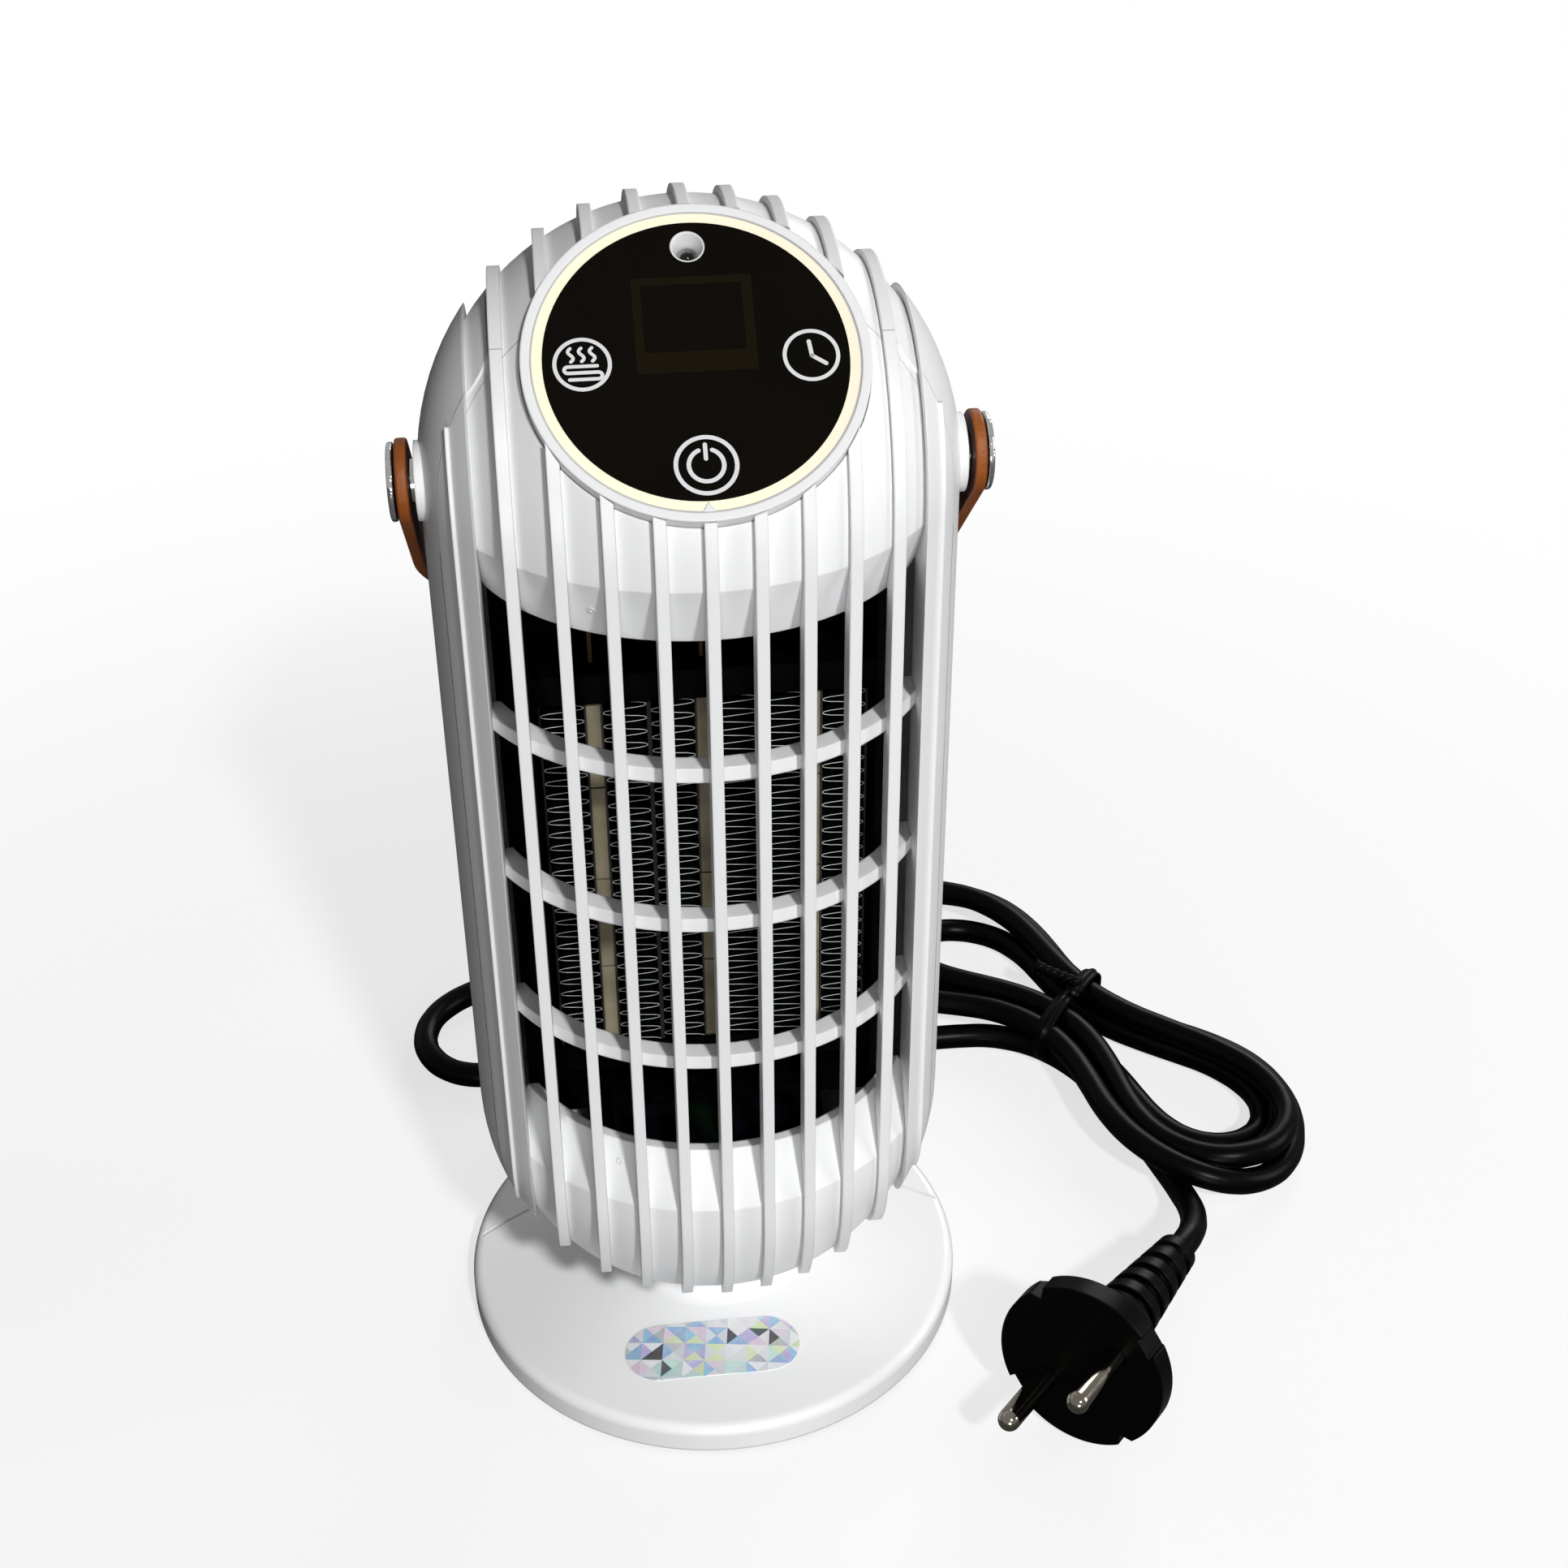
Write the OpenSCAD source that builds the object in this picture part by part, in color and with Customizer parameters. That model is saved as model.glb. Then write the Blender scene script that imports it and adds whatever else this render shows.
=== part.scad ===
// Small upright ceramic heater: a ribbed capsule body on a round base, with a
// tilted touch panel, a leather carrying strap and a mains lead tied in a hank.
// X is to the right, -Y is the front, Z is up. The origin is under the base's centre.

/* [Base] */
// Radius of the round base
base_r = 55; // [53:0.5:62]
// Height of the base at its rim
base_h = 7; // [6.6:0.2:9]
// Height that the base's top gains from its rim to the neck
base_rise = 1.6; // [0.8:0.2:3]
// Radius of the rounded rim
rim_round = 2.2; // [1:0.2:3]
// Wall thickness of the base cover
base_wall = 2; // [1.6:0.1:2.4]
// Radius of the neck that carries the body
neck_r = 17; // [16:0.5:19]
// Radius of the fillet round the foot of the neck
neck_flare = 5; // [3:0.5:7]
// Thickness of the neck's closed top
neck_top_t = 2.5; // [2:0.1:3]
// Thickness of the bottom plate
plate_t = 1.5; // [1.2:0.1:2]
// Diameter of each rubber foot
foot_d = 11; // [8:0.5:13]
// Thickness of each rubber foot
foot_t = 1.4; // [1.2:0.1:1.8]
// How far the feet stand below the bottom plate
foot_proud = 0.6; // [0.4:0.1:0.8]
// Distance of each foot's middle from the base's rim
foot_in = 12; // [11:0.5:16]
// Radius of the shallow line across the back of the base's top
line_r = 92; // [80:1:120]
// Distance behind the axis at which that line crosses the middle
line_back = 25; // [23:0.5:30]
// Length of the foil label
label_l = 38; // [24:1:44]
// Width of the foil label
label_w = 15; // [8:0.5:15]
// Distance of the foil label in front of the axis
label_y = 33; // [31:0.5:36]

/* [Tip switch] */
// Radius of the plunger that feels the floor
plunger_r = 6; // [5:0.1:6.5]
// How far the plunger drops when the heater is lifted
plunger_travel = 3; // [2:0.1:3.5]
// Height of the plunger's guide above the bottom plate
guide_h = 6; // [5:0.5:7]
// Length of the micro switch
switch_l = 20; // [16:0.5:21]
// Thickness of the micro switch
switch_t = 6.4; // [5:0.1:8]
// Height of the micro switch
switch_h = 9; // [7:0.1:9.5]

/* [Body] */
// Radius over the ribs and the side walls
body_r = 49.2; // [48.6:0.1:51]
// Height between the centres of the two round ends
body_straight = 143.7; // [138:0.5:160]
// Height of the lower round end's centre
low_z = 60.7; // [58:0.2:64]
// Height of the flat underside of the body
cut_z = 31.2; // [29:0.2:33]
// How far the ribs stand out of the wall
rib_proud = 1.7; // [1.2:0.1:2]
// Thickness of the housing wall
wall = 2; // [1.6:0.1:2.2]
// Distance of the parting plane in front of the axis
split_y = 18.3; // [17:0.1:19.5]
// Thickness of the cap in the underside
cap_t = 2; // [1.6:0.1:2.4]

/* [Grille] */
// Distance from the outermost rib's middle to the side rail
rib_margin = 5.7; // [5:0.1:6.4]
// Thickness of each rib
rib_t = 2.2; // [1.8:0.1:2.6]
// Number of ribs on each side of the middle one
ribs_side = 4; // [3:1:4]
// Depth of the ribs in the window, from front to back
rib_depth = 6.5; // [5:0.1:7]
// How far inside the body's radius the side rails' inner sides lie
rail_back = 10.3; // [9.6:0.1:11]
// Width of each side rail
rail_w = 4; // [3.4:0.1:5]
// Height of the window's lower edge
win_low = 74.7; // [73:0.2:80]
// Height of the window's upper edge
win_high = 191.2; // [186:0.2:192]
// Height over which the wall slants in to the window
lip_h = 12; // [8:0.2:13]
// How far inside the body's radius the window's lips lie
lip_back = 6.6; // [5.8:0.1:7.2]
// Number of cross rings
ring_count = 3; // [2:1:4]
// Underside height of the lowest cross ring
ring_z = 98.2; // [92:0.2:102]
// Distance from one cross ring to the next
ring_pitch = 32.9; // [22:0.1:33]
// How far inside the body's radius the cross rings lie
ring_back = 3.8; // [3.2:0.1:4.6]
// Radial depth of the cross rings
ring_depth = 3.8; // [3:0.1:4.4]
// Height of each cross ring
ring_h = 3; // [2:0.1:4]
// Height of each slot in the rear intake
slot_h = 12; // [8:0.5:14]
// Width of each slot in the rear intake
slot_w = 3.4; // [2.6:0.1:3.8]
// Height from one row of intake slots to the next
slot_pitch = 16; // [15:0.5:18]
// Number of rows of intake slots
slot_rows = 6; // [4:1:6]
// Height of the lowest intake slot's underside
slot_z = 78; // [74:1:84]

/* [Panel] */
// Lean of the panel from level
panel_tilt = 39.3; // [38:0.1:41]
// How far inside the body's radius the panel's face lies
panel_in = 9.6; // [9.2:0.1:10.2]
// Width of the bezel's rim
bezel_w = 1.7; // [1.5:0.1:2]
// Depth of the bezel
bezel_h = 5; // [4.6:0.1:5.4]
// Width of the light ring's face
light_w = 2; // [1.6:0.1:2.6]
// Thickness of the touch glass
glass_t = 1.8; // [1.4:0.1:2]
// Radius of the receiver's opening in the glass
eye_r = 3; // [2.4:0.1:3.2]
// Distance of the receiver's opening from the glass's edge
eye_in = 4.5; // [4.2:0.1:5.4]
// Width of the display module
display_w = 20; // [16:0.5:22]
// Height of the display module on the panel
display_l = 17.5; // [14:0.5:18]
// Distance of the touch springs from the glass's edge
key_in = 6.6; // [6.6:0.2:9]

/* [Heater core] */
// Distance from the heating core to the side rails
core_margin = 8.15; // [8.05:0.1:9.05]
// Number of heating units
units = 3; // [2:1:3]
// Height of the heating core
core_h = 85.6; // [80:0.2:87]
// Depth of the heating core
core_d = 14; // [12:0.2:15]
// How far the heating core's middle lies below the window's middle
core_drop = 8.15; // [6.15:0.2:8.95]
// Width of each row of ceramic stones
stone_w = 2.7; // [2:0.1:3.2]
// Number of stones in each row
stone_count = 4; // [3:1:5]
// Thickness of each contact plate
contact_t = 0.4; // [0.3:0.05:0.6]
// Thickness of the fin strip
fin_t = 0.25; // [0.2:0.05:0.35]
// Pitch of the folds in the fin strip
fin_pitch = 2.14; // [1.8:0.02:2.8]
// Height of each end holder
holder_h = 6; // [5:0.2:7]
// Thickness of the duct's walls
duct_t = 1.6; // [1.2:0.1:2]
// Radius of the bimetal cut-out
cutout_r = 6; // [5:0.1:6.5]

/* [Fan] */
// Gap between the fan and the housing's wall
fan_margin = 13.1; // [12.5:0.1:14.5]
// Depth of the fan's blades
fan_d = 10; // [8:0.2:11]
// Number of blades
blade_count = 7; // [5:1:9]
// Pitch angle of the blades
blade_angle = 35; // [25:1:40]
// Radius of the fan's hub
hub_r = 11; // [10:0.2:12]
// Radius of the motor
motor_r = 16; // [14:0.2:16.5]
// Gap between the motor and the housing's wall
motor_margin = 6.5; // [5.5:0.1:9]
// Radius of the motor shaft
shaft_r = 1.5; // [1.2:0.1:2]

/* [Strap] */
// Height of the strap's pivots above the upper round end's centre
pivot_up = 1.5; // [0:0.1:3]
// Distance of the strap's pivots in front of the axis
pivot_y = 5.2; // [4:0.1:6]
// Width of the leather strap
strap_w = 15.5; // [13:0.1:15.6]
// Thickness of the leather strap
strap_t = 2.3; // [1.8:0.1:2.8]
// Length of the strap's straight legs
strap_leg = 30.5; // [30:0.5:40]
// Angle by which the resting strap hangs below level
strap_drop = 42; // [34:0.5:42]
// Radius of the rivet caps
cap_r = 7.1; // [6:0.1:7.6]
// Radius of the pivot posts
post_r = 2.5; // [2:0.1:3]
// Thickness of the washers under the strap
washer_t = 0.9; // [0.8:0.1:1.4]

/* [Fasteners] */
// Radius of the threads of the housing screws
screw_r = 1.5; // [1.3:0.1:1.7]
// Radius of the screw heads
head_r = 2.8; // [2.6:0.1:3]
// Height of the screw heads
head_h = 1.4; // [1.2:0.1:1.6]

/* [Cord] */
// Diameter of the mains cord
cord_d = 6.2; // [5.8:0.1:6.6]
// Length of the tapered strain relief outside the housing
relief_l = 24; // [20:1:28]
// Radius of the plug's body
plug_r = 18.7; // [18:0.1:19]
// Radius of the plug's pins
pin_r = 2.4; // [2:0.1:2.4]
// Length of the plug's pins
pin_l = 19; // [18:0.1:19.4]
// Distance between the plug's pins
pin_gap = 19; // [17.5:0.1:19.2]

/* [Hidden] */
$fn = 64;
fine = 128;
eps = 0.01;
// Gap between parts that are set into one another
fit = 0.2;
// Gap between parts that slide or turn on one another
run = 0.08;
// Gap round a screw's thread
thread_gap = 0.02;

plate_z = foot_proud;
plate_top = plate_z + plate_t;
plate_r = base_r - base_wall - fit;
base_top = base_h + base_rise;
neck_in = neck_r - base_wall;
neck_ceiling = cut_z - neck_top_t;
foot_ring_r = base_r - foot_in;
base_screw_ring = base_r - 9;
neck_screw_ring = neck_in - 3.6;

guide_top = plate_top + guide_h;
plunger_flange = guide_top + plunger_travel;
flange_t = 1.2;
flange_r = plunger_r + 1.3;
switch_z = plunger_flange + flange_t + 2.8;

wall_r = body_r - rib_proud;
in_r = wall_r - wall;
high_z = low_z + body_straight;
crease_low = win_low - lip_h;
crease_high = win_high + lip_h;
lip_r = body_r - lip_back;
lip_in = lip_r - wall;
ring_r = body_r - ring_back;
rail_in = body_r - rail_back;
rail_out = rail_in + rail_w;
rail_r = rib_front(rail_out - 0.8);
rib_pitch = (rail_in - rib_margin) / ribs_side;
tube_x = in_r - 12.5;
tube_zs = [low_z - 1, crease_high - 2];
tube_r = 4.2;
boss_r = 3.5;
head_seat = 8;
screw_grip = 9;
foot_in_r = sqrt(in_r * in_r - pow(low_z - cut_z, 2));
flange_in_r = sqrt(in_r * in_r - pow(low_z - cut_z - cap_t, 2));
cap_flange_t = 1.8;
cap_top = cut_z + cap_t + cap_flange_t;

panel_d = body_r - panel_in;
bezel_r = sqrt(body_r * body_r - panel_d * panel_d) + 0.1;
light_r = bezel_r - bezel_w;
glass_r = light_r - light_w;
eye_y = glass_r - eye_in;
key_x = glass_r - key_in;
control_r = glass_r - 2.1;
ledge_w = 2.8;
ledge_t = 2;
glass_low = -glass_t;
ring_top = -0.15;
flange_low = glass_low - 1.5;
board_t = 1.6;
control_z = -bezel_h - board_t - 1.2;
control_screw_r = control_r - 2.2;
spring_r = 4;
key_spots = [[-key_x, -0.2], [key_x, -0.4], [0, -key_x]];

duct_r = lip_in - 0.3;
duct_x = rail_in - 0.6;
duct_low = win_low - 4.5;
duct_high = win_high + 4.5;
core_front = -split_y;
core_back = core_front + core_d;
core_w = 2 * (rail_in - core_margin);
unit_w = core_w / units;
core_z = (win_low + win_high) / 2 - core_drop;
core_low = core_z - core_h / 2;
core_high = core_z + core_h / 2;
holder_lip = 2;
fin_w = unit_w / 2 - stone_w / 2 - 2 * contact_t;
tab_h = 11;
core_screw_x = unit_w / 2;
core_screw_z = core_h / 2 + 2.1;
plenum_back = 6;
fan_r = in_r - fan_margin;
fan_tube_r = fan_r + 1.1;
fan_front = plenum_back + duct_t + 1;
tube_back = plenum_back + duct_t + fan_d + 4.4;
bracket_t = 2;
motor_front = tube_back + bracket_t;
motor_l = in_r - motor_margin - motor_front;
shaft_front = fan_front + 0.5;
hub_back = tube_back - head_h - 1.4;

pivot_z = high_z + pivot_up;
pad_x = body_r + 0.1;
strap_in = pad_x + washer_t + 0.2;
strap_out = strap_in + strap_t;
nut_x = in_r - 4.5;
nut_t = 2.5;
nut_r = 4.5;

board_z = cap_top + 9;
post_x = flange_in_r - 15.25;
board_half = post_x + 4;
board_top = board_z + board_t;

relief_tilt = 30;
relief_seat = wall_r - 0.7;
relief_cap = 2.5;
relief_start = relief_seat + relief_cap;
relief_end = relief_start + relief_l;
relief_flange_r = 7.5;
relief_neck_r = 5.6;
cord_r = cord_d / 2;

hank_h = 13;
hank_low = 0;
tie_w = 4;
tie_t = 1.2;
waist = [98, 70.6];
waist_turn = -38;
waist_w = 34;
far_loop = [54, 106];
far_r = 31;
near_loop = [120, 31];
near_r = 26.5;

plug_turn = -130;
plug_pitch = 8;
plug_roll = 42;
plug_rim = 5;
plug_l = 17;
plug_relief_l = 31;
plug_at = [72.3, -57.5, plug_r * cos(plug_pitch) + plug_rim * sin(plug_pitch) + 0.05];

relief_tip = [0, relief_end * cos(relief_tilt), low_z - relief_end * sin(relief_tilt)];

// Route of the cord from the strain relief to the hank
lead_points = [
    relief_tip, relief_tip + [-1, 10.5, -6.2], [-5, 84, 11.5], [-13, 91, 6.5], [-24, 91, 4],
    [-35, 84, 3.3], [-43, 75, 3.2], [-50, 67, 3.2], [-57, 66, 3.2], [-62, 73, 3.2],
    [-65, 83, 3.2], [-64, 93, 3.2], [-56, 101, 3.2], [-44, 105, 3.2], [-30, 106.5, 3.2],
    [-14, 107, 3.2], [4, 106.5, 3.2], [22.9, 106, 3.2],
];
// Route of the cord from the hank to the plug
tail_points = [
    [110.2, 6.3, 3.2], [109.2, 3, 3.2], [108.6, -1, 3.7], [108.4, -5.5, 5.2], [108.2, -10, 7.6],
    [107.3, -14.3, 10.4], [105.5, -18, 12.3], [102.9, -21.1, 12.7],
];

function rib_front(x) = sqrt(body_r * body_r - x * x);
function unit(v) = v / norm(v);

// Outline of a capsule's cross-section, drawn in the Y-Z plane
module stadium(r) {
    translate([0, low_z]) circle(r, $fn = fine);
    translate([0, high_z]) circle(r, $fn = fine);
    translate([-r, low_z]) square([2 * r, body_straight]);
}

module capsule(r) {
    translate([0, 0, low_z]) sphere(r, $fn = fine);
    translate([0, 0, high_z]) sphere(r, $fn = fine);
    translate([0, 0, low_z]) cylinder(r = r, h = body_straight, $fn = fine);
}

module rib_plate(x, t, r) {
    translate([x - t / 2, 0, 0]) rotate([90, 0, 90]) linear_extrude(t) stadium(r);
}

module box(low, high) {
    translate(low) cube(high - low);
}

module tube(r_out, r_in, z0, z1) {
    difference() {
        translate([0, 0, z0]) cylinder(r = r_out, h = z1 - z0, $fn = fine);
        translate([0, 0, z0 - 1]) cylinder(r = r_in, h = z1 - z0 + 2, $fn = fine);
    }
}

// Turns children so that their Z axis points to the back
module backward(x, y, z) {
    translate([x, y, z]) rotate([-90, 0, 0]) children();
}

module panel_place() {
    translate([0, -panel_d * sin(panel_tilt), high_z + panel_d * cos(panel_tilt)])
        rotate([panel_tilt, 0, 0]) children();
}

module relief_place() {
    translate([0, 0, low_z]) rotate([-90 - relief_tilt, 0, 0]) children();
}

module plug_place() {
    translate(plug_at) rotate([0, 0, plug_turn]) rotate([0, -plug_pitch, 0])
        rotate([plug_roll, 0, 0]) rotate([0, 90, 0]) children();
}

module waist_place() {
    translate([waist[0], waist[1], 0]) rotate([0, 0, waist_turn]) children();
}

// Sideways directions along a route, each carried on from the one before it
function carried(along, i, side) = i == len(along) ? [] :
    let (s = unit(side - (side * along[i]) * along[i])) concat([s], carried(along, i + 1, s));

// A round cord swept along a list of points, as one closed skin
module sweep(points, r, sides) {
    last = len(points) - 1;
    along = [for (i = [0 : last]) unit(points[min(i + 1, last)] - points[max(i - 1, 0)])];
    side = carried(along, 0, cross(along[0], [0.3, 0.2, 0.9]));
    rings = [for (i = [0 : last], k = [0 : sides - 1])
        points[i] + r * (cos(360 * k / sides) * side[i] + sin(360 * k / sides) * cross(side[i], along[i]))];
    walls = [for (i = [0 : last - 1], k = [0 : sides - 1])
        let (a = i * sides + k, b = i * sides + (k + 1) % sides)
            [a, a + sides, b + sides, b]];
    caps = [[for (k = [0 : sides - 1]) k],
            [for (k = [sides - 1 : -1 : 0]) last * sides + k]];
    polyhedron(rings, concat(walls, caps));
}

// Self-tapping screw along +Z with the underside of its head at the origin
module screw(r, l, hr, hh) {
    cylinder(r = r, h = l);
    translate([0, 0, -hh]) cylinder(r = hr, h = hh);
}

module around(count, r, first = 0) {
    for (i = [0 : count - 1])
        rotate([0, 0, first + i * 360 / count]) translate([r, 0, 0]) children();
}

module base_profile() {
    rim_in = base_r - rim_round;
    translate([0, plate_z]) square([base_r, base_h - rim_round - plate_z]);
    translate([rim_in, base_h - rim_round]) circle(rim_round);
    polygon([[0, plate_z + 1], [rim_in, plate_z + 1], [rim_in, base_h],
             [neck_r + neck_flare, base_top], [0, base_top]]);
    translate([neck_r, base_top - eps]) difference() {
        square(neck_flare);
        translate([neck_flare, neck_flare]) circle(neck_flare);
    }
    square([neck_r, cut_z]);
}

module base_hollow() {
    under = base_top - base_wall;
    polygon([[0, -1], [base_r - base_wall, -1], [base_r - base_wall, base_h - base_wall - 0.6],
             [neck_r + neck_flare, under], [neck_in, under],
             [neck_in, neck_ceiling], [0, neck_ceiling]]);
}

module base_cover() {
    color("white") difference() {
        union() {
            difference() {
                rotate_extrude($fn = fine) difference() {
                    intersection() {
                        base_profile();
                        translate([0, plate_z]) square([base_r, cut_z]);
                    }
                    base_hollow();
                }
                // shallow line across the back of the top
                difference() {
                    translate([0, line_back - line_r, 0])
                        tube(line_r + 0.3, line_r - 0.3, base_h - 0.3, base_top + 1);
                    cylinder(r = neck_r + neck_flare + 0.5, h = base_top + 2);
                }
            }
            around(4, base_screw_ring) translate([0, 0, plate_top]) cylinder(r = 3, h = base_h - 1 - plate_top);
            // bracket that holds the micro switch
            intersection() {
                box([-switch_l / 2, switch_t / 2, switch_z], [switch_l / 2, switch_t / 2 + 1.5, neck_ceiling + 1]);
                cylinder(r = neck_r - 1, h = cut_z);
            }
            for (x = [-5, 5]) backward(x, -switch_t / 2, switch_z + switch_h - 3)
                cylinder(r = 1.4, h = switch_t + 1);
        }
        around(4, base_screw_ring) translate([0, 0, plate_z]) cylinder(r = screw_r + thread_gap, h = base_h - 1.4 - plate_z);
        around(3, neck_screw_ring, 90) translate([0, 0, neck_ceiling - 1]) cylinder(r = screw_r + fit, h = 9);
        translate([0, 0, neck_ceiling - 1]) cylinder(r = 3, h = neck_top_t + 2);
    }
}

module bottom_plate() {
    color("dimgray") difference() {
        union() {
            translate([0, 0, plate_z]) cylinder(r = plate_r, h = plate_t, $fn = fine);
            tube(plunger_r + run + 1.6, plunger_r + run, plate_z, guide_top);
        }
        translate([0, 0, -1]) cylinder(r = plunger_r + run, h = guide_top + 2);
        around(4, foot_ring_r, 45) translate([0, 0, -1]) cylinder(d = foot_d + 2 * thread_gap, h = foot_t + 1);
        around(4, base_screw_ring) {
            translate([0, 0, -1]) cylinder(r = screw_r + 0.1, h = plate_top + 2);
            translate([0, 0, -1]) cylinder(r = head_r + fit, h = plate_z + 1 + 0.9);
        }
    }
}

module rubber_feet() {
    color("black") around(4, foot_ring_r, 45) cylinder(d = foot_d, h = foot_t);
}

module base_screws() {
    color("silver") around(4, base_screw_ring) translate([0, 0, plate_z + 0.9])
        screw(screw_r, base_h - 2.4 - plate_z, head_r, 0.9);
}

module foil_label() {
    rim_in = base_r - rim_round;
    color("lightsteelblue") intersection() {
        translate([-3, -label_y, 0]) linear_extrude(base_top + 2) {
            for (s = [-1, 1]) translate([s * (label_l - label_w) / 2, 0]) circle(d = label_w);
            square([label_l - label_w, label_w], center = true);
        }
        rotate_extrude($fn = fine) polygon([
            [neck_r + neck_flare, base_top], [rim_in, base_h],
            [rim_in, base_h + 0.15], [neck_r + neck_flare, base_top + 0.15]]);
    }
}

module tip_plunger() {
    color("darkgray") {
        cylinder(r = plunger_r, h = plunger_flange);
        translate([0, 0, plunger_flange]) cylinder(r = flange_r, h = flange_t);
        translate([0, 0, plunger_flange + flange_t]) cylinder(r = 2, h = 2.6);
    }
}

module tip_spring() {
    turns = 2.5;
    wire = 0.3;
    steps = 40;
    low = plunger_flange + flange_t + wire + 0.05;
    high = switch_z - wire - 0.05;
    color("silver") sweep([for (i = [0 : steps]) let (a = 360 * turns * i / steps)
        [3.6 * cos(a), 3.6 * sin(a), low + (high - low) * i / steps]], wire, 6);
}

module tip_switch() {
    color("black") difference() {
        box([-switch_l / 2, -switch_t / 2, switch_z], [switch_l / 2, switch_t / 2, switch_z + switch_h]);
        for (x = [-5, 5]) backward(x, -switch_t, switch_z + switch_h - 3)
            cylinder(r = 1.45, h = 2 * switch_t);
    }
}

module neck_screws() {
    color("silver") around(3, neck_screw_ring, 90) translate([0, 0, neck_ceiling])
        screw(screw_r, neck_top_t + 7.5, head_r, head_h);
}

module bottom_cap() {
    color("whitesmoke") difference() {
        union() {
            translate([0, 0, cut_z]) cylinder(r = foot_in_r - 0.3, h = cap_t, $fn = fine);
            translate([0, 0, cut_z + cap_t]) cylinder(r = flange_in_r - 0.05, h = cap_flange_t, $fn = fine);
            around(3, neck_screw_ring, 90) translate([0, 0, cap_top - 1]) cylinder(r = boss_r, h = 6);
            for (x = [-post_x, post_x], y = [-post_x, post_x])
                translate([x, y, cap_top - 1]) cylinder(r = 3, h = board_z - cap_top + 1);
        }
        around(3, neck_screw_ring, 90) translate([0, 0, cut_z - 1])
            cylinder(r = screw_r + thread_gap, h = 9.5);
        for (x = [-post_x, post_x], y = [-post_x, post_x])
            translate([x, y, cap_top]) cylinder(r = screw_r + thread_gap, h = board_z);
        translate([0, 0, cut_z - 1]) cylinder(r = 3, h = 9);
        relief_place() translate([0, 0, in_r - 4]) cylinder(r = relief_flange_r, h = 8);
    }
}

// Everything behind the outer skins that the front grille leaves open
module front_void() {
    rotate_extrude($fn = fine) difference() {
        intersection() {
            stadium(in_r);
            square([in_r, high_z + in_r]);
        }
        polygon([[lip_in, win_low], [in_r + 1, crease_low], [in_r + 1, crease_high], [lip_in, win_high]]);
    }
}

module lips() {
    rotate_extrude($fn = fine) {
        polygon([[in_r, crease_low], [wall_r, crease_low], [lip_r, win_low], [lip_in, win_low]]);
        polygon([[in_r, crease_high], [wall_r, crease_high], [lip_r, win_high], [lip_in, win_high]]);
    }
}

// Room in front of the slanted lips, which nothing but the ribs and rings reach into
module lip_room() {
    rotate_extrude($fn = fine) polygon([[lip_r - 0.4, win_low], [wall_r - 0.4, crease_low], [wall_r + 5, crease_low],
        [wall_r + 5, crease_high], [wall_r - 0.4, crease_high], [lip_r - 0.4, win_high]]);
}

// Small round mark that the mould's ejector leaves on a lip, at a share of the lip's slant
module ejector_mark(turn, share, side) {
    slant = atan((wall_r - lip_r) / lip_h);
    mark_z = side > 0 ? win_high + share * lip_h : win_low - share * lip_h;
    rotate([0, 0, turn]) translate([0, -lip_r - share * (wall_r - lip_r), mark_z])
        rotate([90 + side * slant, 0, 0]) tube(0.7, 0.35, -0.5, 0.15);
}

// Raised pads over the catches that hold the two housings together
module catch_pads() {
    for (s = [-1, 1]) intersection() {
        capsule(wall_r + 0.4);
        translate([s * (rail_in - 1.8), -split_y + 1.2, 0]) linear_extrude(2 * high_z) pad_outline();
        box([-body_r, -body_r, high_z], [body_r, body_r, high_z + body_r]);
    }
}

module pad_outline() {
    translate([-2.4, 2.2]) square([4.8, 18]);
    translate([0, 2.4]) circle(2.4);
}

module side_walls() {
    intersection() {
        capsule(body_r);
        for (s = [-1, 1]) translate([s * (rail_in + body_r) / 2, 0, high_z / 2])
            cube([body_r - rail_in + eps, 3 * body_r, 3 * high_z], center = true);
    }
}

module all_ribs() {
    for (k = [-ribs_side : ribs_side])
        rib_plate(k * rib_pitch, rib_t, rib_front(k * rib_pitch));
}

// Ring inside the head that the bezel rests on
module panel_ledge() {
    intersection() {
        panel_place() tube(bezel_r + 2.4, bezel_r - ledge_w, -bezel_h - ledge_t, -bezel_h);
        capsule(wall_r);
    }
}

module panel_seat() {
    panel_place() translate([0, 0, -bezel_h]) cylinder(r = bezel_r + 0.15, h = 3 * bezel_h, $fn = fine);
}

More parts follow.
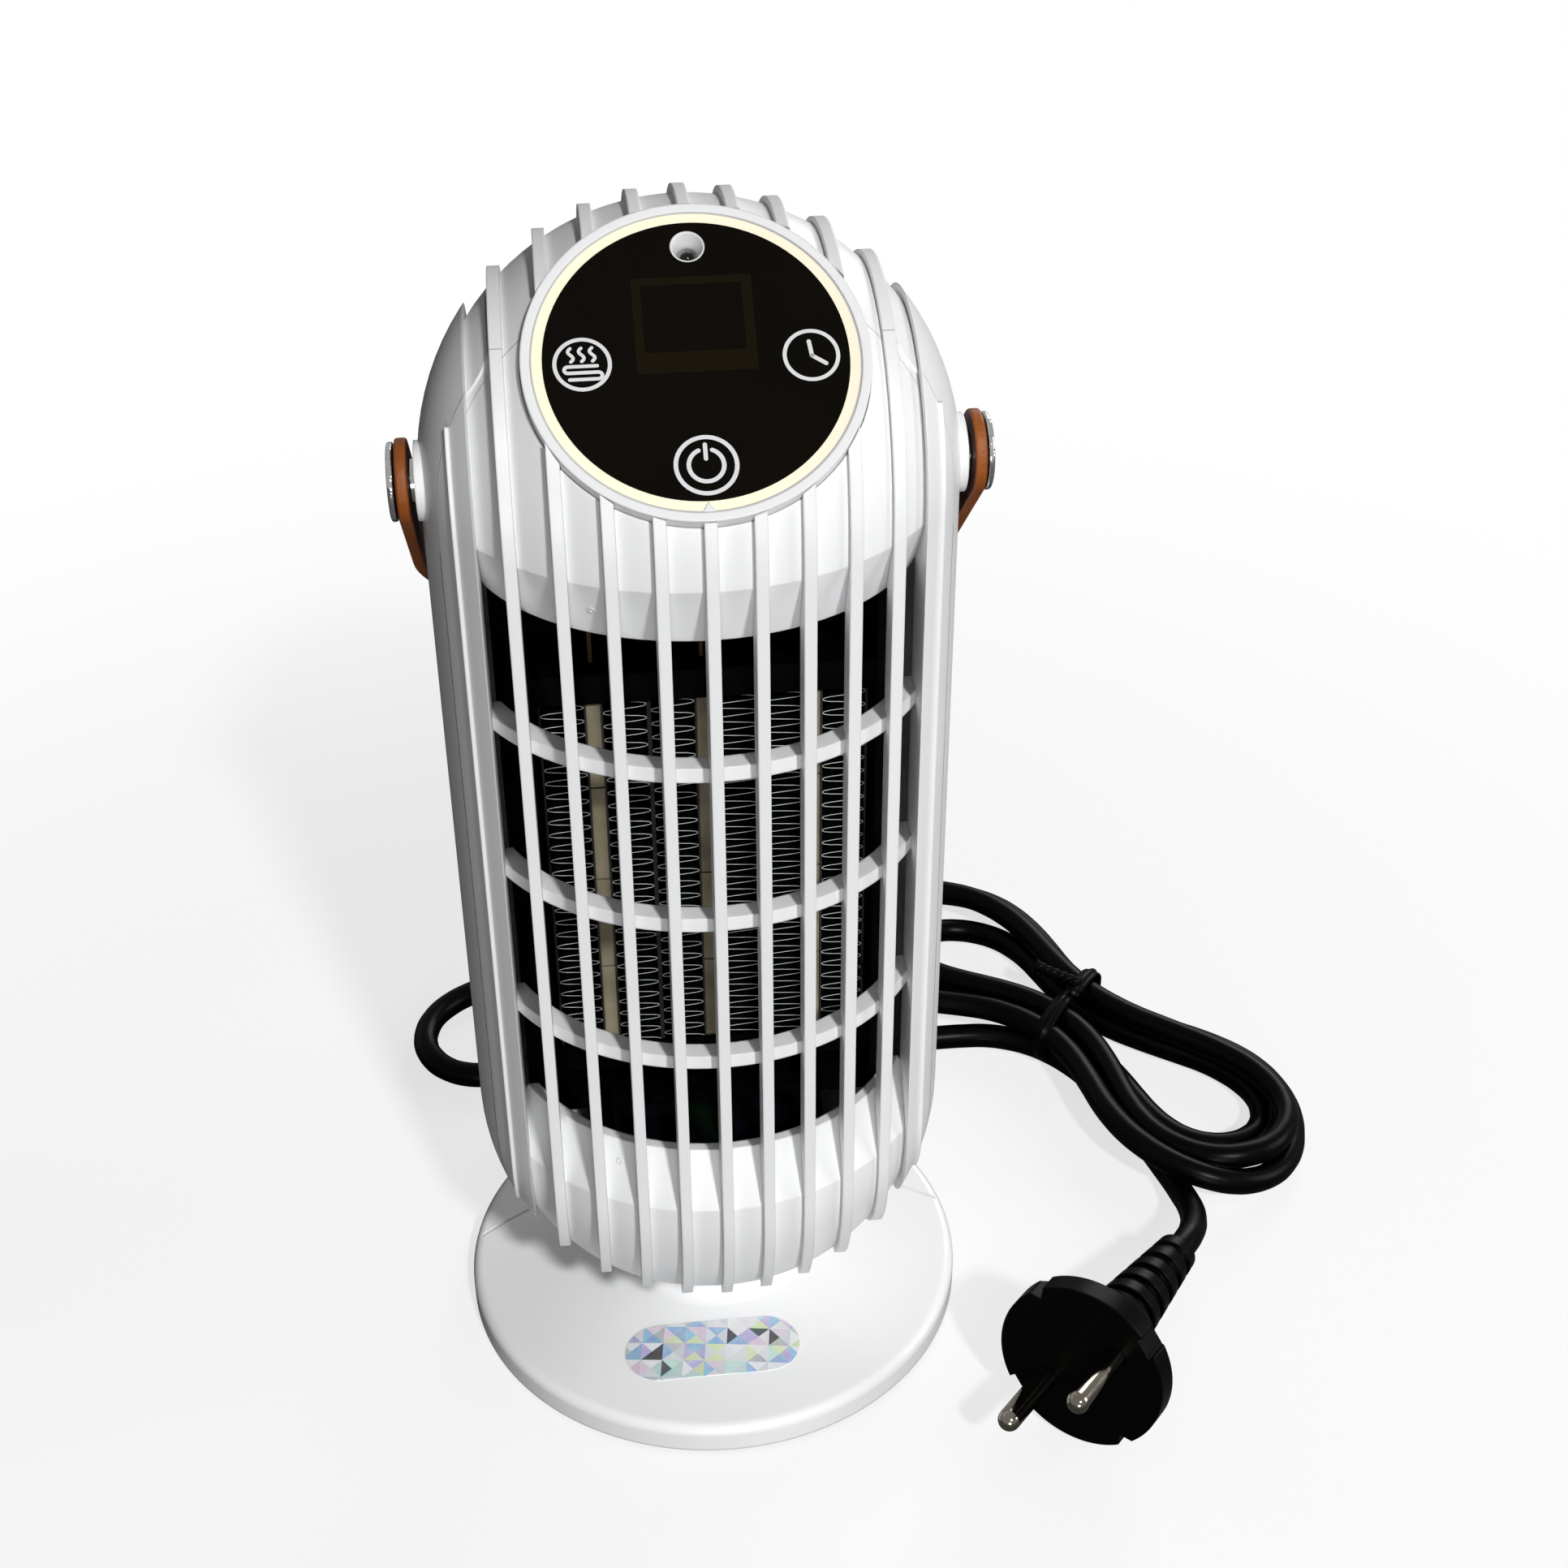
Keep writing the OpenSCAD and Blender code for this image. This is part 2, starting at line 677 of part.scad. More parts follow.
module front_grille() {
    color("white") difference() {
        union() {
            difference() {
                union() {
                    difference() {
                        capsule(wall_r);
                        box([-rail_in, -body_r - 1, crease_low], [rail_in, 0, crease_high]);
                    }
                    intersection() {
                        lips();
                        box([-rail_in - eps, -body_r, 0], [rail_in + eps, 0, high_z]);
                    }
                    side_walls();
                    for (s = [-1, 1]) rib_plate(s * (rail_in + rail_w / 2), rail_w, rail_r);
                    difference() {
                        all_ribs();
                        intersection() {
                            for (k = [-ribs_side : ribs_side])
                                rib_plate(k * rib_pitch, rib_t + 1, rib_front(k * rib_pitch) - rib_depth);
                            box([-body_r, -body_r, win_low - 1], [body_r, 0, win_high + 1]);
                        }
                    }
                }
                front_void();
            }
            for (i = [0 : ring_count - 1]) intersection() {
                tube(ring_r, ring_r - ring_depth, ring_z + i * ring_pitch, ring_z + i * ring_pitch + ring_h);
                box([-rail_in - eps, -body_r, 0], [rail_in + eps, 0, high_z]);
            }
            panel_ledge();
            ejector_mark(-28, 0.35, -1);
            ejector_mark(-26.3, 0.5, 1);
            difference() {
                intersection() {
                    for (x = [-tube_x, tube_x], z = tube_zs) backward(x, -body_r, z) cylinder(r = boss_r, h = body_r);
                    capsule(wall_r);
                }
                lip_room();
            }
        }
        box([-2 * body_r, -split_y, -1], [2 * body_r, 2 * body_r, 2 * high_z]);
        box([-2 * body_r, -2 * body_r, -1], [2 * body_r, 2 * body_r, cut_z]);
        panel_seat();
        for (x = [-tube_x, tube_x], z = tube_zs) backward(x, -split_y - screw_grip - 1, z)
            cylinder(r = screw_r + thread_gap, h = screw_grip + 2);
    }
}

module rear_housing() {
    color("white") difference() {
        union() {
            difference() {
                union() {
                    capsule(wall_r);
                    side_walls();
                    all_ribs();
                    catch_pads();
                    for (s = [-1, 1]) rotate([0, s * 90, 0])
                        translate([-s * pivot_z, -pivot_y, in_r - 3]) cylinder(r = 7.2, h = pad_x - in_r + 3);
                }
                capsule(in_r);
            }
            panel_ledge();
            for (s = [-1, 1]) intersection() {
                rotate([0, s * 90, 0]) translate([-s * pivot_z, -pivot_y, nut_x + nut_t]) cylinder(r = 6.2, h = 5);
                capsule(wall_r);
            }
            intersection() {
                for (x = [-tube_x, tube_x], z = tube_zs) backward(x, -split_y, z) cylinder(r = tube_r, h = body_r + split_y);
                capsule(wall_r);
            }
        }
        box([-2 * body_r, -2 * body_r, -1], [2 * body_r, -split_y, 2 * high_z]);
        box([-2 * body_r, -2 * body_r, -1], [2 * body_r, 2 * body_r, cut_z]);
        panel_seat();
        for (x = [-tube_x, tube_x], z = tube_zs) {
            backward(x, -split_y - 1, z) cylinder(r = screw_r + fit, h = 2 * body_r);
            backward(x, -split_y + head_seat, z) cylinder(r = head_r + fit, h = 2 * body_r);
        }
        for (k = [-ribs_side : ribs_side - 1], row = [0 : slot_rows - 1])
            box([(k + 0.5) * rib_pitch - slot_w / 2, 0, slot_z + row * slot_pitch],
                [(k + 0.5) * rib_pitch + slot_w / 2, 2 * body_r, slot_z + row * slot_pitch + slot_h]);
        rotate([0, 90, 0]) translate([-pivot_z, -pivot_y, -body_r - 1])
            cylinder(r = post_r + thread_gap, h = 2 * body_r + 2);
        relief_place() {
            cylinder(r = relief_neck_r + 0.1, h = 2 * body_r);
            translate([0, 0, relief_seat]) cylinder(r = relief_flange_r + 0.3, h = body_r);
        }
    }
}

module housing_screws() {
    color("silver") for (x = [-tube_x, tube_x], z = tube_zs)
        translate([x, head_seat - split_y, z]) rotate([90, 0, 0])
            screw(screw_r, head_seat + screw_grip - 0.5, head_r, head_h);
}

// Room for the touch springs and the receiver's cup
module panel_cutouts() {
    for (p = key_spots) translate([p[0], p[1], -2 * bezel_h]) cylinder(r = spring_r + 0.2, h = 4 * bezel_h);
    translate([0, eye_y, -2 * bezel_h]) cylinder(r = eye_r + 0.2, h = 4 * bezel_h);
}

module panel_bezel() {
    color("white") panel_place() {
        difference() {
            union() {
                difference() {
                    translate([0, 0, -bezel_h]) cylinder(r = bezel_r, h = bezel_h, $fn = fine);
                    translate([0, 0, flange_low - 0.05]) cylinder(r = light_r + 0.05, h = bezel_h, $fn = fine);
                    translate([0, 0, -bezel_h - 1]) cylinder(r = control_r - 4, h = bezel_h + 2, $fn = fine);
                    panel_cutouts();
                }
                around(4, control_screw_r, 45) translate([0, 0, control_z + board_t])
                    cylinder(r = 1.9, h = -control_z - board_t - bezel_h + 1);
            }
            around(4, control_screw_r, 45) translate([0, 0, control_z]) cylinder(r = 0.9, h = board_t + 2.6);
        }
    }
}

module light_ring() {
    color("cornsilk") panel_place() difference() {
        translate([0, 0, flange_low]) cylinder(r = light_r, h = ring_top - flange_low, $fn = fine);
        translate([0, 0, glass_low - 0.02]) cylinder(r = glass_r + 0.05, h = 2 * glass_t, $fn = fine);
        translate([0, 0, flange_low - 1]) cylinder(r = control_r - 4, h = 2 * bezel_h, $fn = fine);
        panel_cutouts();
        translate([0, -light_r, ring_top - 0.6]) rotate([0, 0, 90]) cylinder(r = 1.5, h = 2, $fn = 3);
    }
}

module touch_glass() {
    color([0.03, 0.03, 0.03]) panel_place() difference() {
        translate([0, 0, glass_low]) cylinder(r = glass_r, h = glass_t, $fn = fine);
        translate([0, eye_y, glass_low - 1]) cylinder(r = eye_r, h = 2 * glass_t);
    }
}

module receiver_cup() {
    color("white") panel_place() translate([0, eye_y, 0]) difference() {
        translate([0, 0, control_z + board_t]) cylinder(r = eye_r - 0.05, h = -control_z - board_t - 0.1);
        translate([0, 0, -3.4]) cylinder(r1 = 1.7, r2 = eye_r - 0.3, h = 3.4);
        translate([0, 0, control_z]) cylinder(r = 1.7, h = -control_z);
    }
}

module receiver_eye() {
    color("black") panel_place() translate([0, eye_y, 0]) {
        translate([0, 0, control_z + board_t]) cylinder(r = 1.6, h = -control_z - board_t - 3);
        translate([0, 0, -3]) sphere(1.6);
    }
}

module display_module() {
    color("dimgray") panel_place()
        box([-display_w / 2, 6.6 - display_l / 2, control_z + board_t],
            [display_w / 2, 6.6 + display_l / 2, glass_low - 0.1]);
}

module control_board() {
    color("darkgreen") panel_place() difference() {
        translate([0, 0, control_z]) cylinder(r = control_r, h = board_t, $fn = fine);
        around(4, control_screw_r, 45) translate([0, 0, control_z - 1]) cylinder(r = 1.1, h = board_t + 2);
    }
}

module control_screws() {
    color("silver") panel_place() around(4, control_screw_r, 45)
        translate([0, 0, control_z]) screw(0.88, board_t + 2.4, 1.8, 1);
}

module touch_springs() {
    color("silver") panel_place() for (p = key_spots)
        translate([p[0], p[1], control_z + board_t]) difference() {
            cylinder(r = spring_r, h = glass_low - control_z - board_t);
            translate([0, 0, -1]) cylinder(r = spring_r - 0.8, h = 2 * bezel_h + 2);
        }
}

module duct_block(inset) {
    intersection() {
        translate([0, 0, duct_low + inset]) cylinder(r = duct_r - inset, h = duct_high - duct_low - 2 * inset, $fn = fine);
        box([-duct_x + inset, -body_r, 0], [duct_x - inset, core_back + duct_t - inset, high_z]);
    }
}

module air_duct() {
    plenum_x = core_w / 2 + duct_t;
    plenum_z = core_h / 2;
    front_y = core_front - 4;
    color([0.08, 0.08, 0.08]) difference() {
        union() {
            difference() {
                duct_block(0);
                duct_block(duct_t);
            }
            box([-plenum_x, core_back, core_z - plenum_z], [plenum_x, plenum_back + duct_t, core_z + plenum_z]);
            backward(0, plenum_back, core_z) cylinder(r = fan_tube_r + duct_t, h = tube_back - plenum_back, $fn = fine);
        }
        // open the front, except for the rim behind the grille
        box([-body_r, -body_r, 0], [body_r, front_y, high_z]);
        box([-plenum_x + duct_t, core_back - 1, core_z - plenum_z + duct_t],
            [plenum_x - duct_t, plenum_back, core_z + plenum_z - duct_t]);
        backward(0, plenum_back - 1, core_z) cylinder(r = fan_tube_r, h = tube_back, $fn = fine);
        for (s = [-1, 0, 1]) backward(s * unit_w, core_back - 1, core_high + 16) cylinder(r = 1.5, h = 2 * duct_t);
        core_screw_spots() cylinder(r = 1.15, h = 2 * duct_t + 2, center = true);
    }
}

function holder_z(s) = core_z + s * (core_h / 2 - holder_lip + holder_h / 2);

// Four places on the back wall of the duct, with Z to the front
module core_screw_spots() {
    for (s = [-1, 1], t = [-1, 1]) translate([s * core_screw_x, core_back + duct_t, core_z + t * core_screw_z])
        rotate([90, 0, 0]) children();
}

module core_holders() {
    half_w = core_w / 2 + 1.6;
    color("dimgray") difference() {
        intersection() {
            for (s = [-1, 1])
                box([-half_w - 3, core_front - 1, holder_z(s) - holder_h / 2],
                    [half_w + 3, core_back - 0.02, holder_z(s) + holder_h / 2]);
            cylinder(r = duct_r - duct_t - 0.1, h = high_z, $fn = fine);
        }
        box([-core_w / 2 - 0.05, core_front - 0.05, core_low - 0.05], [core_w / 2 + 0.05, core_back + 1, core_high + 0.05]);
        for (u = [0 : units - 1]) translate([unit_x(u), core_front + core_d / 2, core_high])
            cube([1.4, 6.8, 2 * holder_h + 8], center = true);
        core_screw_spots() cylinder(r = 1.02, h = duct_t + 8.5);
    }
}

function unit_x(u) = (u - (units - 1) / 2) * unit_w;

module core_screws() {
    color("silver") core_screw_spots() screw(1, duct_t + 8, 1.55, 1.2);
}

module ceramic_stones() {
    stone_h = core_h / stone_count;
    color("tan") for (u = [0 : units - 1], i = [0 : stone_count - 1])
        box([unit_x(u) - stone_w / 2, core_front + 0.3, core_low + i * stone_h + 0.2],
            [unit_x(u) + stone_w / 2, core_back - 0.3, core_low + (i + 1) * stone_h - 0.2]);
}

module contact_plates() {
    color("silver") for (u = [0 : units - 1], s = [-1, 1], gap = [stone_w / 2, unit_w / 2 - contact_t])
        box([unit_x(u) + s * (gap + contact_t / 2) - contact_t / 2, core_front, core_low],
            [unit_x(u) + s * (gap + contact_t / 2) + contact_t / 2, core_back, core_high]);
}

// One folded strip: a zigzag outline going up, and the same outline shifted coming back
module fin_strip() {
    folds = floor((core_h - 1) / fin_pitch);
    half = fin_w / 2 - 0.05;
    shift = fin_t / sin(atan(fin_pitch / 4 / half));
    low = core_z - folds * fin_pitch / 2;
    edge = [for (i = [0 : 2 * folds]) [(i % 2 == 0 ? half : shift - half), low + i * fin_pitch / 2]];
    back = [for (i = [2 * folds : -1 : 0]) edge[i] - [shift, 0]];
    translate([0, core_back, 0]) rotate([90, 0, 0]) linear_extrude(core_d) polygon(concat(edge, back));
}

module heat_fins() {
    color("lightgray") for (u = [0 : units - 1], s = [-1, 1])
        translate([unit_x(u) + s * (stone_w / 2 + contact_t + fin_w / 2), 0, 0]) fin_strip();
}

module core_terminals() {
    color("gold") for (u = [0 : units - 1]) {
        mid = core_front + core_d / 2;
        box([unit_x(u) - 0.4, mid - 3.15, core_high - 0.2], [unit_x(u) + 0.4, mid + 3.15, core_high + tab_h]);
    }
}

module thermal_cutout() {
    color("silver") backward(-12, core_back - 8, core_high + 16) {
        translate([0, 0, 1]) cylinder(r = cutout_r, h = 7);
        translate([0, 0, 0]) cylinder(r = cutout_r - 2, h = 1);
    }
}

module thermal_fuse() {
    color("lightgray") translate([6, core_back - 1.7, core_high + 18]) rotate([0, 90, 0]) {
        cylinder(r = 1.6, h = 9);
        translate([0, 0, -3]) cylinder(r = 0.4, h = 15);
    }
}

module fan_motor() {
    color("gray") backward(0, motor_front, core_z) difference() {
        union() {
            cylinder(r = motor_r, h = motor_l);
            translate([0, 0, motor_l]) cylinder(r = 4, h = 1.5);
            translate([0, 0, -bracket_t - 0.5]) cylinder(r = 4, h = bracket_t + 0.5);
        }
        translate([0, 0, -bracket_t - 1]) cylinder(r = shaft_r + run, h = motor_l + bracket_t);
        for (s = [-1, 1]) translate([s * 9, 0, -1]) cylinder(r = screw_r + thread_gap, h = 6);
    }
}

module motor_shaft() {
    color("silver") backward(0, shaft_front, core_z) cylinder(r = shaft_r, h = motor_front + motor_l - 3 - shaft_front);
}

module fan_impeller() {
    mid = fan_front + fan_d / 2;
    color("whitesmoke") difference() {
        union() {
            backward(0, fan_front, core_z) cylinder(r = hub_r, h = hub_back - fan_front);
            intersection() {
                for (i = [0 : blade_count - 1]) translate([0, mid, core_z]) rotate([0, i * 360 / blade_count, 0])
                    translate([0, 0, fan_r / 2]) rotate([0, 0, blade_angle]) cube([1.2, 4 * fan_d, fan_r + 2], center = true);
                backward(0, fan_front, core_z) cylinder(r = fan_r, h = fan_d, $fn = fine);
            }
        }
        backward(0, fan_front - 1, core_z) cylinder(r = shaft_r + thread_gap, h = 3 * fan_d);
    }
}

module motor_bracket() {
    color("dimgray") difference() {
        union() {
            backward(0, tube_back, core_z) {
                cylinder(r = motor_r - 2, h = bracket_t);
                tube(fan_tube_r + duct_t, fan_tube_r - 1, 0, bracket_t);
                for (i = [0 : 3]) rotate([0, 0, 45 + 90 * i])
                    translate([0, -3, 0]) cube([fan_tube_r, 6, bracket_t]);
            }
        }
        backward(0, tube_back - 1, core_z) {
            cylinder(r = 4.1, h = bracket_t + 2);
            for (s = [-1, 1]) translate([s * 9, 0, 0]) cylinder(r = screw_r + 0.1, h = bracket_t + 2);
        }
    }
}

module motor_screws() {
    color("silver") for (s = [-1, 1]) backward(s * 9, tube_back, core_z)
        screw(screw_r, bracket_t + 4, head_r, head_h);
}

module power_board() {
    color("darkgreen") difference() {
        box([-board_half, -board_half, board_z], [board_half, board_half, board_top]);
        for (x = [-post_x, post_x], y = [-post_x, post_x])
            translate([x, y, board_z - 1]) cylinder(r = screw_r + 0.1, h = board_t + 2);
    }
}

module board_parts() {
    b = board_half;
    color("royalblue") {
        for (y = [-0.56, 0.08]) box([-0.84 * b, y * b, board_top], [-0.24 * b, (y + 0.48) * b, board_top + 14]);
        box([0.16 * b, -0.64 * b, board_top], [0.8 * b, -0.24 * b, board_top + 11]);
        box([0.2 * b, 0, board_top], [0.76 * b, 0.44 * b, board_top + 12]);
        box([-0.48 * b, 0.64 * b, board_top], [0.48 * b, 0.96 * b, board_top + 8]);
    }
}

module board_screws() {
    color("silver") for (x = [-post_x, post_x], y = [-post_x, post_x])
        translate([x, y, board_top]) rotate([180, 0, 0]) screw(screw_r, board_t + 6, head_r, head_h);
}

// The strap lies in a plane through its pivots: it is drawn reaching to +Y
module leather_strap() {
    color("saddlebrown") translate([0, -pivot_y, pivot_z]) rotate([-strap_drop, 0, 0]) difference() {
        union() {
            for (s = [-1, 1]) {
                box([min(s * strap_in, s * strap_out), 0, -strap_w / 2],
                    [max(s * strap_in, s * strap_out), strap_leg, strap_w / 2]);
                translate([s * (strap_in + strap_t / 2), 0, 0]) rotate([0, 90, 0])
                    cylinder(d = strap_w, h = strap_t, center = true);
            }
            translate([0, strap_leg, 0]) intersection() {
                tube(strap_out, strap_in, -strap_w / 2, strap_w / 2);
                box([-strap_out, 0, -strap_w], [strap_out, 2 * strap_out, strap_w]);
            }
        }
        rotate([0, 90, 0]) cylinder(r = post_r + run, h = 3 * strap_out, center = true);
    }
}

module on_pivots() {
    for (s = [-1, 1]) translate([0, -pivot_y, pivot_z]) rotate([0, s * 90, 0]) children();
}

module strap_washers() {
    color("silver") on_pivots() difference() {
        translate([0, 0, pad_x]) cylinder(r = 4, h = washer_t);
        cylinder(r = post_r + thread_gap, h = 2 * body_r);
    }
}

module pivot_posts() {
    color("silver") on_pivots() {
        translate([0, 0, nut_x - 1]) cylinder(r = post_r, h = strap_out + 0.2 - nut_x + 1);
        translate([0, 0, strap_out + 0.2]) cylinder(r = cap_r, h = 0.8);
        translate([0, 0, strap_out + 1]) cylinder(r1 = cap_r, r2 = cap_r - 0.9, h = 0.7);
    }
}

module pivot_nuts() {
    color("gray") on_pivots() difference() {
        translate([0, 0, nut_x]) cylinder(r = nut_r, h = nut_t, $fn = 6);
        cylinder(r = post_r + thread_gap, h = 2 * body_r);
    }
}

module cord_relief() {
    groove = 1.2;
    color("black") relief_place() {
        translate([0, 0, relief_seat]) cylinder(r = relief_flange_r, h = relief_cap);
        translate([0, 0, in_r - 3.2]) cylinder(r = relief_neck_r, h = relief_seat - in_r + 3.4);
        translate([0, 0, in_r - 3.2]) cylinder(r = relief_flange_r - 0.3, h = 2.4);
        translate([0, 0, relief_start]) difference() {
            cylinder(r1 = relief_neck_r, r2 = cord_r + 0.9, h = relief_l);
            for (i = [1 : 6]) translate([0, 0, i * relief_l / 7.5]) tube(relief_flange_r, cord_r + 0.6, -groove / 2, groove / 2);
        }
    }
}

module cord_lead() {
    color("black") sweep(lead_points, cord_r, 10);
}

module cord_tail() {
    color("black") sweep(tail_points, cord_r, 10);
}

module hank_outline() {
    half = waist_w / 2;
    across = [-sin(waist_turn), cos(waist_turn)];
    sides = [for (s = [-1, 1]) waist + s * (half - 6) * across];
    hull() {
        translate(far_loop) circle(far_r, $fn = 32);
        for (p = sides) translate(p) circle(6, $fn = 32);
    }
    hull() {
        translate(near_loop) circle(near_r, $fn = 32);
        for (p = sides) translate(p) circle(6, $fn = 32);
    }
}

module cord_hank() {
    color("black") difference() {
        translate([0, 0, hank_low]) linear_extrude(hank_h) hank_outline();
        waist_place() difference() {
            translate([-tie_w / 2 - 0.1, -2 * waist_w, -1]) cube([tie_w + 0.2, 4 * waist_w, hank_h + 2]);
            translate([-tie_w, -waist_w / 2 + tie_t + 0.1, tie_t + 0.1])
                cube([2 * tie_w, waist_w - 2 * tie_t - 0.2, hank_h - 2 * tie_t - 0.2]);
        }
    }
}

module cord_tie() {
    color("black") waist_place() difference() {
        translate([-tie_w / 2, -waist_w / 2, 0]) cube([tie_w, waist_w, hank_h]);
        translate([-tie_w, -waist_w / 2 + tie_t, tie_t])
            cube([2 * tie_w, waist_w - 2 * tie_t, hank_h - 2 * tie_t]);
    }
}

module plug_body() {
    color("black") plug_place() difference() {
        union() {
            translate([0, 0, -plug_rim]) cylinder(r = plug_r, h = plug_rim, $fn = fine);
            translate([0, 0, -plug_rim - 1.5]) cylinder(r1 = plug_r - 1.5, r2 = plug_r, h = 1.5, $fn = fine);
            translate([0, 0, -plug_l]) cylinder(r1 = 9, r2 = 14, h = plug_l - plug_rim, $fn = fine);
            translate([0, 0, -plug_l - plug_relief_l]) cylinder(r1 = cord_r + 1.5, r2 = 7.6, h = plug_relief_l + 1);
        }
        for (i = [1 : 5]) translate([0, 0, -plug_l - (i - 0.4) * plug_relief_l / 5.4]) tube(12, 5.8 - i * 0.3, -1.2, 1.2);
        for (s = [-1, 1]) {
            translate([0, s * (plug_r + 0.9), 0]) cube([4.6, 5, 40], center = true);
            translate([s * (plug_r - 0.2), 0, 0]) rotate([0, 0, 45]) cube([2.6, 2.6, 40], center = true);
            translate([0, s * pin_gap / 2, -8]) cylinder(r = pin_r + thread_gap, h = 9);
        }
    }
}

module plug_pins() {
    color("silver") plug_place() for (s = [-1, 1]) translate([0, s * pin_gap / 2, -7.9]) {
        cylinder(r = pin_r, h = pin_l - pin_r + 7.9);
        translate([0, 0, pin_l - pin_r + 7.9]) sphere(pin_r);
    }
}

module mains_wires() {
    in_y = (in_r - 3.3) * cos(relief_tilt);
    in_z = low_z - (in_r - 3.3) * sin(relief_tilt);
    color("brown") for (s = [-1, 1]) sweep([
        [2 * s, in_y, in_z], [2.2 * s, in_y - 2.6, in_z + 1.6], [3 * s, in_y - 6, in_z + 6],
        [4 * s, in_y - 7.5, in_z + 12.4], [4.6 * s, in_y - 11.5, in_z + 17.9], [5 * s, in_y - 15.5, in_z + 18.9],
        [5 * s, 0.78 * board_half, board_top + 8.1]], 1, 8);
}

module switch_wires() {
    color("black") for (s = [-1, 1]) sweep([
        [1.2 * s, 0, switch_z + switch_h + 0.1], [1.2 * s, 0, neck_ceiling], [1.3 * s, 0, cap_top + 2],
        [3 * s, 1, board_z - 3], [4 * s, 1.5, board_z - 0.1]], 0.7, 8);
}

module heater_wires() {
    top_z = core_high + tab_h;
    mid = core_front + core_d / 2;
    color("firebrick") for (u = [-1, 0, 1]) {
        x = u * unit_w;
        side_x = in_r - 7.5 + 2 * u;
        side_y = 9 + 4 * u;
        sweep([
            [x, mid, top_z], [x, mid + 0.5, top_z + 3], [x, mid + 4, top_z + 5], [x, core_back + 2, core_high + 16],
            [x + 3, side_y, core_high + 16], [side_x - 2, side_y, core_high + 5], [side_x, side_y, core_high - 6],
            [side_x, side_y, core_z], [side_x, side_y, core_low], [side_x - 4, side_y - 3, core_low - 14],
            [0.56 * board_half + 2 * u, 8 + 3 * u, board_top + 18],
            [0.48 * board_half + 2 * u, 0.24 * board_half + 2 * u, board_top + 12.1]], 0.9, 8);
    }
}

module fan_wires() {
    out_y = motor_front + motor_l / 2;
    color("dimgray") for (s = [-1, 1]) sweep([
        [3 * s, out_y, core_z - motor_r - 0.1], [3 * s, out_y, core_z - motor_r - 10],
        [3 * s, in_r - 15.5, core_low + 10], [3 * s, in_r - 16.5, core_low - 8], [6 * s, in_r - 19.5, low_z + 1.3],
        [8 * s, 0.84 * board_half, board_top + 11], [8 * s, 0.8 * board_half, board_top + 8.1]], 0.7, 8);
}

base_cover();
bottom_plate();
rubber_feet();
base_screws();
foil_label();
tip_plunger();
tip_spring();
tip_switch();
neck_screws();
bottom_cap();
front_grille();
rear_housing();
housing_screws();
panel_bezel();
light_ring();
touch_glass();
receiver_cup();
receiver_eye();
display_module();
control_board();
control_screws();
touch_springs();
air_duct();
core_holders();
core_screws();
ceramic_stones();
contact_plates();
heat_fins();
core_terminals();
thermal_cutout();
thermal_fuse();
fan_motor();
motor_shaft();
fan_impeller();
motor_bracket();
motor_screws();
power_board();
board_parts();
board_screws();
leather_strap();
strap_washers();
pivot_posts();
pivot_nuts();
cord_relief();
cord_lead();
cord_hank();
cord_tail();
cord_tie();
plug_body();
plug_pins();
mains_wires();
switch_wires();
heater_wires();
fan_wires();
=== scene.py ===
import math

import bmesh
import bpy
from mathutils import Matrix, Vector


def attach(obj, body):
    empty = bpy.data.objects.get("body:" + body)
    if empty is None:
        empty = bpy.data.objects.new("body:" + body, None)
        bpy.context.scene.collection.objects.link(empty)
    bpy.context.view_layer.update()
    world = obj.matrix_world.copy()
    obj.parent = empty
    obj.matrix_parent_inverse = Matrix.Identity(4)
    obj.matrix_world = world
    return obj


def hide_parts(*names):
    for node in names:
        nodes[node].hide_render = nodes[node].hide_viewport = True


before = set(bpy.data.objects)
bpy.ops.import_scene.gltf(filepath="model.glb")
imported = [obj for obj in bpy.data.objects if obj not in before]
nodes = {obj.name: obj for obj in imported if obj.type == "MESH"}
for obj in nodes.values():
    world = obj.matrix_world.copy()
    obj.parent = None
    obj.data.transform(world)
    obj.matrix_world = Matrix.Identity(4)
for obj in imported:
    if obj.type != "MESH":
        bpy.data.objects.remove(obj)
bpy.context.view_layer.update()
millimetre = 0.001
print("model loaded:", len(nodes), "nodes")

viewPlan = {
    "place": (-0.02450, -0.38140, 0.38842),
    "right": (0.9938, -0.1110, -0.0047),
    "up": (0.0656, 0.5515, 0.8316),
    "lens": 52.82, "sensor": 36, "nearClip": 0.01, "farClip": 50,
}


def addObject(name, data):
    thing = bpy.data.objects.new(name, data)
    bpy.context.scene.collection.objects.link(thing)
    return thing


def placeCamera(plan):
    lens = bpy.data.cameras.new("viewLens")
    lens.lens, lens.sensor_width = plan["lens"], plan["sensor"]
    lens.clip_start, lens.clip_end = plan["nearClip"], plan["farClip"]
    camera = addObject("viewpoint", lens)
    right = Vector(plan["right"]).normalized()
    up = (Vector(plan["up"]) - right * right.dot(Vector(plan["up"]))).normalized()
    turn = Matrix((right, up, right.cross(up))).transposed().to_4x4()
    camera.matrix_world = Matrix.Translation(Vector(plan["place"])) @ turn
    bpy.context.scene.camera = camera


placeCamera(viewPlan)


# Stores each plain value in its socket, and links each socket that is given instead
def fill(tree, sockets, values):
    for label, value in values.items():
        if isinstance(value, bpy.types.NodeSocket):
            tree.links.new(value, sockets[label])
        else:
            sockets[label].default_value = value


# Sets a node's properties before its sockets, because some sockets depend on them
def addNode(tree, kind, values=None, **settings):
    node = tree.nodes.new(kind)
    for label, setting in settings.items():
        setattr(node, label, setting)
    fill(tree, node.inputs, values or {})
    return node


